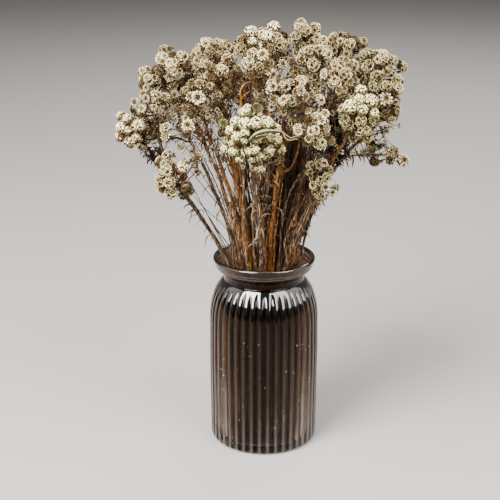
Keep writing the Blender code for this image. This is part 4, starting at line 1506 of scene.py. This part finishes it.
for number, node in enumerate(cluster_nodes, 1):
    draw = np.random.default_rng(1000 + number)
    low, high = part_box(node)
    middle = np.array((low + high) / 2)
    tip = tips[np.linalg.norm(tips - middle, axis=1).argmin()]
    middle, balls = balls_of(number, node, tip, draw)
    named = len(FRONT_LOBES.get(number, ()))
    heap = Heap()
    for ball_number, (ball_centre, radius, kind, ball_out) in enumerate(balls):
        head_radius = HEAD_RADIUS[kind]
        sphere = max(radius - head_radius * HEADS_SUNK, radius * LEAST_SPHERE)
        count = max(3, how_many(radius - head_radius * HEADS_MEET_AT, HEAD_SPACING[kind]))
        directions = golden(count, draw.uniform(0, 6)) + draw.normal(0, HEAD_SCATTER, (count, 3))
        if kind == "s":
            directions[0] = LOOKING_OUT
        ball_tone = draw.uniform(*TONE_OF_KIND[kind]) + TINT_OF_CLUSTER.get(number, 0)
        disc_tone = draw.uniform(*DISC_OF_KIND[kind])
        others = np.array([c for k, (c, _, _, _) in enumerate(balls) if k != ball_number])
        sizes = np.array([r for k, (_, r, _, _) in enumerate(balls) if k != ball_number])
        shapes = SHAPES_OF_KIND.get(kind, fine_heads if ball_number < named else small_heads)
        reach_back = BARE_BACKS_REACH_BACK if number in BARE_BACKS else HEADS_REACH_BACK
        for head_number, toward in enumerate(directions):
            toward = unit(toward)
            is_broad = kind == "s" and head_number == 0
            if toward @ ball_out < reach_back:
                continue
            if kind == "s" and not is_broad and toward @ LOOKING_OUT > CLEARED_AROUND:
                continue
            place = ball_centre + toward * sphere * draw.uniform(*HEAD_HEIGHTS)
            if (np.linalg.norm(others - place, axis=1) < sizes * HIDDEN_IN_NEXT_BALL).any():
                continue
            size = head_radius * draw.uniform(*HEAD_SIZES)
            if is_broad:
                size = radius * BROAD_HEAD_SHARE
            lean = 0.0 if is_broad else HEADS_LEAN_OUT
            axis = unit(toward + lean * ball_out + draw.normal(0, HEAD_TILT, 3))
            points, triangles, slots, lengths, is_disc = shapes[draw.integers(len(shapes))]
            turned = points * size @ frame_along(axis, draw.uniform(0, 6.28)).T + place
            # painted shade: heads on the sides and the underside of a ball get a higher tone, which darkens
            # them
            turned_away = max(0.0, 0.50 - toward @ ball_out) + 0.6 * max(0.0, 0.1 - toward[2])
            toned = ball_tone + PAINTED_SHADE_TURNED_AWAY * turned_away * (BUDS_PAINTED_SHADE_GAIN if kind in "fp" else 1)
            tones = np.clip(np.where(is_disc, disc_tone, toned) + draw.normal(0, 0.10), 0, 1)
            heap.add(turned, triangles, slots, np.stack([tones, lengths], axis=1))
        points, triangles = core_shapes[draw.integers(3)]
        core_radius = max(sphere - head_radius * HEADS_SUNK, radius * LEAST_CORE)
        core = points * core_radius @ frame_along(ball_out, 1.0).T + ball_centre
        heap.add(core, triangles, 2, point_values(core, draw.uniform(0.0, 0.3), 0.5))
        start = tip + (middle - tip) * 0.35 + draw.normal(0, STALK_WANDER, 3)
        bow = (start + ball_centre) / 2 - (0, 0, STALK_SAG) + draw.normal(0, STALK_WANDER, 3)
        share = np.linspace(0, 1, STALK_POINTS)[:, None]
        path = (1 - share) ** 2 * start + 2 * share * (1 - share) * bow + share**2 * ball_centre
        stalk, triangles = tube(path, np.linspace(*STALK_RADIUS, STALK_POINTS), 5)
        heap.add(stalk, triangles, 3, point_values(stalk, draw.uniform(0.1, 0.8), 0.5))
    surfaces = [green_white_bracts if number in GREENISH else white_bracts, brown_disc]
    surfaces += [woolly_core, orange_bark if number % 3 == 0 else grey_bark]
    cluster = heap.build(f"{node}_heads", surfaces, ("tone", "length"))
    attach(cluster, "root")
    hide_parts(node)

# ------------------------------------------------------------------------- loose branchlets
# Thin forked branchlets that leave the stems below the clusters. They carry dull grey-brown
# heads that dried early, made duller still with painted shade, and small dead leaves, and they
# fill the middle of the bunch.

BRANCH_SPAN = 0.085
BRANCH_SPACING = 0.0042
BRANCH_LENGTH = (0.012, 0.030)
BRANCH_POINTS = 5
BRANCH_SIDES = 4
BRANCH_RADIUS = (0.00055, 0.00035)
BRANCH_TURN = (0.5, 1.3)
BRANCH_LIFT = 0.25
BRANCH_WANDER = 0.0006
BRANCH_HEADS = (2, 5)
BRANCH_LOWEST = 0.292
BRANCH_LOWEST_LEFT = 0.290
DULL_HEAD_RADIUS = (0.0018, 0.0028)
DULL_WHORLS = ((7, (0.36, -0.20), (0.72, 0.12), (1.02, 0.10), 0.30),)
DULL_DISC = (0.34, 0.05, 0.12)
ORANGE_SHARE = 0.22
GREY_SLOT = 2
ORANGE_SLOT = 3
LEAF_SLOT = 4
HOLLOWS = (
    # place in mm, spread in mm, and heads
    (-88, -30, 345, 11, 30),
    (-98, -16, 334, 9, 18),
    (-72, -5, 382, 7, 14),
    (-50, -20, 346, 13, 50),
    (-36, -22, 330, 10, 24),
    (24, -30, 352, 12, 26),
    (48, -34, 340, 10, 22),
    (80, -40, 326, 8, 16),
)

branch_draw = np.random.default_rng(800)
dull_heads = [open_head(DULL_WHORLS, DULL_DISC, branch_draw, 0.12, 5, 1) for _ in range(6)]
bunch = Heap()


def dull_head(heap, place, axis, draw):
    """Adds one small, dull head at a place, facing along an axis: dried, and darkened with painted shade.
    """
    points, triangles, slots, lengths, is_disc = dull_heads[draw.integers(len(dull_heads))]
    turned = points * draw.uniform(*DULL_HEAD_RADIUS) @ frame_along(axis, draw.uniform(0, 6.28)).T
    # painted shade: high tones darken these heads, on top of their own dried colour
    tones = np.where(is_disc, draw.uniform(0.4, 1), draw.uniform(0.45, 1))
    heap.add(turned + place, triangles, slots, np.stack([tones, lengths], axis=1))


for node in stem_nodes:
    for points, radii in runs_of[node]:
        fine, _ = resample(points, radii, BRANCH_SPACING)
        first = max(1, len(fine) - round(BRANCH_SPAN / BRANCH_SPACING))
        for k in range(first, len(fine) - 1):
            lowest = BRANCH_LOWEST_LEFT if fine[k, 0] < -0.02 else BRANCH_LOWEST
            if fine[k, 2] < lowest:
                continue
            ahead = unit(fine[k + 1] - fine[k])
            out = unit(np.cross(ahead, branch_draw.normal(0, 1, 3)))
            heading = unit(ahead + out * branch_draw.uniform(*BRANCH_TURN))
            length = branch_draw.uniform(*BRANCH_LENGTH)
            share = np.linspace(0, 1, BRANCH_POINTS)[:, None]
            lift = np.array([0, 0, 1.0]) * share**2 * length * BRANCH_LIFT
            wander = branch_draw.normal(0, BRANCH_WANDER, (BRANCH_POINTS, 3)) * share
            path = fine[k] + heading * share * length + lift + wander
            twig, triangles = tube(path, np.linspace(*BRANCH_RADIUS, BRANCH_POINTS), BRANCH_SIDES)
            tone = branch_draw.uniform(0, 0.8)
            slot = ORANGE_SLOT if branch_draw.random() < ORANGE_SHARE else GREY_SLOT
            bunch.add(twig, triangles, slot, point_values(twig, tone, 0.5))
            for _ in range(branch_draw.integers(*BRANCH_HEADS)):
                axis = unit(heading + (0, -0.3, 0.3) + branch_draw.normal(0, 0.8, 3))
                dull_head(bunch, path[-1] + axis * branch_draw.uniform(0.0015, 0.0035), axis, branch_draw)
            for place in path[1:4]:
                size = branch_draw.uniform(0.004, 0.010), branch_draw.uniform(0.0005, 0.0010)
                turn = unit(heading + branch_draw.normal(0, 0.7, 3))
                strip = withered_leaf(place, turn, *size, 0.35, branch_draw.normal(0, 0.3), branch_draw)
                bunch.add(*strip, LEAF_SLOT, point_values(strip[0], branch_draw.uniform(0.05, 0.7), 0.5))
stem_points = np.concatenate([points for runs in runs_of.values() for points, _ in runs])
for x, y, z, spread, count in HOLLOWS:
    for _ in range(count):
        place = np.array([x, y, z]) / 1000 + branch_draw.normal(0, spread / 2000, 3)
        axis = unit(branch_draw.normal(0, 0.7, 3) + (0, -0.5, 0.2))
        dull_head(bunch, place, axis, branch_draw)
        below = place - axis * 0.004 - (0, 0, 0.012)
        root = stem_points[np.linalg.norm(stem_points - below, axis=1).argmin()]
        share = np.linspace(0, 1, BRANCH_POINTS)[:, None]
        path = place + (root - place) * share - axis * 0.008 * share * (1 - share)
        twig, triangles = tube(path, np.linspace(*BRANCH_RADIUS[::-1], BRANCH_POINTS), BRANCH_SIDES)
        bunch.add(twig, triangles, GREY_SLOT, point_values(twig, branch_draw.uniform(0, 0.8), 0.5))
surfaces = [white_bracts, brown_disc, grey_bark, orange_bark, withered_leaf_surface]
loose_branchlets = bunch.build("loose_branchlets", surfaces, ("tone", "length"))
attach(loose_branchlets, "root")

# ------------------------------------------------------------------------- green leaf
# The one leaf that dried green: long and narrow, white and woolly above, dark green at its
# rolled edge and below. A thin tendril curls from its foot over the white flowers.

LEAF_ROW_SPACING = 0.0016
LEAF_COLUMNS = 7
LEAF_HALF_WIDTH = 0.0020
LEAF_HALF_THICKNESS = 0.00022
LEAF_FACING = (0.10, -0.80, 0.58)
LEAF_MIDRIB = (
    # x, y, z in mm, and the share of the full width
    (-15.0, -124.9, 340.2, 0.20),
    (-11.4, -126.3, 344.2, 0.60),
    (-7.0, -126.4, 346.8, 0.95),
    (-2.6, -125.8, 348.0, 1.00),
    (1.8, -124.8, 348.3, 0.85),
    (6.0, -123.8, 348.1, 0.75),
    (10.4, -122.4, 347.4, 0.70),
    (14.2, -120.6, 346.0, 0.35),
)
FOOT_MIDRIB = (
    (-16.2, -125.6, 339.4, 0.35),
    (-13.0, -126.8, 341.2, 0.80),
    (-9.6, -127.2, 342.4, 1.00),
    (-6.0, -126.9, 343.3, 0.80),
    (-2.4, -126.1, 344.6, 0.20),
)
THREADS = (
    # tone, radius in mm at each end, and points in mm: two dry pale ends of the leaf
    (0.62, 0.75, 0.30, (
        (13.4, -120.8, 346.3), (16.4, -119.2, 343.8), (19.2, -117.0, 341.4), (21.4, -114.8, 340.0),
        (24.2, -112.0, 340.8), (27.0, -109.0, 339.6),
    )),
    (0.66, 0.45, 0.25, (
        (14.0, -120.4, 345.6), (15.4, -119.8, 342.0), (18.6, -117.4, 339.0), (22.8, -113.4, 338.2),
        (26.2, -110.2, 338.6),
    )),
)
TENDRIL = (
    # x and z in mm
    (-12.0, 342.4),
    (-16.1, 343.4),
    (-19.7, 343.0),
    (-22.7, 340.6),
    (-22.0, 337.3),
    (-19.9, 334.2),
    (-19.7, 331.1),
    (-18.0, 327.2),
    (-17.2, 324.4),
)
TENDRIL_CLEARANCE = 0.0011
TENDRIL_RADIUS = (0.00085, 0.0006)
TENDRIL_DEPTH = -0.122
THREAD_SPACING = 0.0012
THREAD_SIDES = 6
CAMERA_PLACE = (-0.014, -1.032, 0.553)


def leaf_surface():
    """Woolly white above; green along the rolled lower edge and underneath."""
    made, tree, shader = new_material("woolly_leaf", Roughness=0.8, Specular_IOR_Level=0.1)
    across = add_node(tree, "ShaderNodeAttribute", attribute_name="tone")
    length = add_node(tree, "ShaderNodeAttribute", attribute_name="length")
    stops = [
        (0.0, (0.012, 0.0145, 0.0032)),
        (0.48, (0.026, 0.027, 0.007)),
        (0.58, (0.16, 0.14, 0.065)),
        (0.68, (0.44, 0.39, 0.23)),
        (0.80, (0.17, 0.15, 0.065)),
        (1.0, (0.42, 0.37, 0.22)),
    ]
    base = ramp(tree, across.outputs["Fac"], stops)
    dry = ramp(tree, length.outputs["Fac"], [(0.7, (1.0, 1.0, 1.0)), (1.0, (1.0, 0.92, 0.80))])
    fibre = add_fibre(tree, 2200, 300)
    wool = ramp(tree, fibre.outputs["Fibre"], [(0.0, (0.72, 0.72, 0.62)), (0.8, (1.0, 1.0, 1.0))])
    colour = mix_colours(tree, "MULTIPLY", 1.0, base, dry)
    colour = mix_colours(tree, "MULTIPLY", 1.0, colour, wool)
    tree.links.new(colour, shader.inputs["Base Color"])
    add_relief(tree, shader, fibre.outputs["Fibre"], 0.5, 0.0003)
    return made


def leaf_blade(midrib, half_width, palest, draw):
    """A blade along a midrib, rolled at its lower edge, with an uneven edge."""
    midrib = np.array(midrib)
    rib, share = resample(midrib[:, :3] / 1000, midrib[:, 3], LEAF_ROW_SPACING)
    ahead = units(np.gradient(rib, axis=0))
    across = units(np.cross(np.cross(ahead, np.cross(LEAF_FACING, ahead)), ahead))
    lift = np.cross(ahead, across)
    blade = []
    for side in np.linspace(-1, 1, LEAF_COLUMNS):
        roll = 0.35 * side**2 - (0.25 if side < -0.5 else 0) + draw.normal(0, 0.10, len(rib))[:, None]
        half = (share * half_width * draw.uniform(0.85, 1.15, len(rib)))[:, None]
        blade.append(rib + across * half * side - lift * half * roll)
    top = np.stack(blade, axis=1)
    thickness = lift[:, None] * LEAF_HALF_THICKNESS
    sheet = np.concatenate([top + thickness, (top - thickness)[:, ::-1]], axis=1)
    tone = np.broadcast_to(np.linspace(0, palest, LEAF_COLUMNS), top.shape[:2])
    tones = np.concatenate([tone, np.zeros_like(tone)], axis=1)
    reach = np.tile(np.linspace(0, 1, len(rib))[:, None], (1, 2 * LEAF_COLUMNS))
    values = np.stack([tones.ravel(), reach.ravel()], axis=1)
    return sheet.reshape(-1, 3), grid_triangles(len(rib), 2 * LEAF_COLUMNS)[:, ::-1], 0, values


def draped(line, away, clear):
    """A line of x and z led over the flowers, just nearer than they are to a far point."""
    flowers = bpy.data.objects["flower_cluster_24_heads"].data
    corners = [p.vertices for p in flowers.polygons]
    surface = BVHTree.FromPolygons([v.co for v in flowers.vertices], corners)
    toward = np.stack([line[:, 0], np.full(len(line), TENDRIL_DEPTH), line[:, 1]], axis=1) - away
    lengths = np.linalg.norm(toward, axis=1)
    toward /= lengths[:, None]
    found = [surface.ray_cast(Vector(away), Vector(ray))[3] for ray in toward]
    reach = np.array([length if hit is None else min(hit, length) for hit, length in zip(found, lengths)])
    near = np.min([np.roll(np.pad(reach, 1, mode="edge"), n)[1:-1] for n in (-1, 0, 1)], axis=0)
    smooth = np.convolve(np.pad(near, 1, mode="edge"), (0.25, 0.5, 0.25), "valid")
    return away + toward * (np.minimum(smooth, reach) - clear)[:, None]


leaf_draw = np.random.default_rng(61)
leaf = Heap()
leaf.add(*leaf_blade(LEAF_MIDRIB, LEAF_HALF_WIDTH, 1.0, leaf_draw))
leaf.add(*leaf_blade(FOOT_MIDRIB, LEAF_HALF_WIDTH * 0.8, 0.35, leaf_draw))
for tone, first, last, path in THREADS:
    thick = np.linspace(first, last, len(path)) / 1000
    thread, thick = resample(np.array(path) / 1000, thick, THREAD_SPACING)
    points, triangles = tube(thread, thick, THREAD_SIDES)
    leaf.add(points, triangles, value=point_values(points, tone, 0.9))
flat = np.array([(x, 0, z) for x, z in TENDRIL]) / 1000
flat, thick = resample(flat, np.linspace(*TENDRIL_RADIUS, len(flat)), THREAD_SPACING)
tendril = draped(flat[:, [0, 2]], np.array(CAMERA_PLACE), TENDRIL_CLEARANCE)
points, triangles = tube(tendril, thick, THREAD_SIDES)
leaf.add(points, triangles, value=point_values(points, 0.05, 0.2))
green_leaf = leaf.build("woolly_green_leaf", [leaf_surface()], ("tone", "length"))
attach(green_leaf, "root")
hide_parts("green_leaf")

# ------------------------------------------------------------------------- room
# A plain pale floor, soft studio light from large lamps, and a camera that looks down on the
# bunch a little. None of it belongs to the part.

CAMERA_DIP = math.radians(18.885)
FLOOR_COLOUR = (0.32, 0.303, 0.28, 1)
ROOM_COLOUR = (0.82, 0.80, 0.78, 1)
ROOM_LIGHT = 0.24

floor_mesh = bpy.data.meshes.new("floor")
floor_mesh.from_pydata([(-3, -3, 0), (3, -3, 0), (3, 6, 0), (-3, 6, 0)], [], [(0, 1, 2, 3)])
floor = bpy.data.objects.new("floor", floor_mesh)
bpy.context.scene.collection.objects.link(floor)
paper, tree, shader = new_material("pale_floor", Roughness=0.9)
shader.inputs["Base Color"].default_value = FLOOR_COLOUR
floor_mesh.materials.append(paper)

world = bpy.data.worlds.new("soft_room")
world.use_nodes = True
background = world.node_tree.nodes["Background"]
background.inputs["Color"].default_value = ROOM_COLOUR
background.inputs["Strength"].default_value = ROOM_LIGHT
bpy.context.scene.world = world


def softbox(name, place, target, size, watts):
    """A rectangular area light at a place, turned to a target."""
    light = bpy.data.lights.new(name, "AREA")
    light.shape = "RECTANGLE"
    light.size, light.size_y = size
    light.energy = watts
    lamp = bpy.data.objects.new(name, light)
    lamp.location = place
    lamp.rotation_euler = (Vector(target) - Vector(place)).to_track_quat("-Z", "Y").to_euler()
    bpy.context.scene.collection.objects.link(lamp)


softbox("key_light", (-0.84, -0.93, 1.35), (0, 0, 0.28), (0.9, 1.7), 172)
softbox("fill_light", (0.98, -0.85, 1.15), (0, 0, 0.25), (1.0, 1.5), 50)
softbox("left_light", (-1.5, 0.1, 1.0), (0, 0, 0.2), (0.9, 1.5), 7)
softbox("right_light", (1.5, 0.1, 1.0), (0, 0, 0.2), (0.9, 1.5), 9)
softbox("back_light", (0.6, 1.7, 1.9), (0, 1.0, 0), (1.6, 1.2), 46)

lens = bpy.data.cameras.new("camera")
lens.lens = 79.2
lens.sensor_width = 36
camera = bpy.data.objects.new("camera", lens)
camera.location = CAMERA_PLACE
camera.rotation_euler = (math.pi / 2 - CAMERA_DIP, 0, 0)
bpy.context.scene.collection.objects.link(camera)
bpy.context.scene.camera = camera
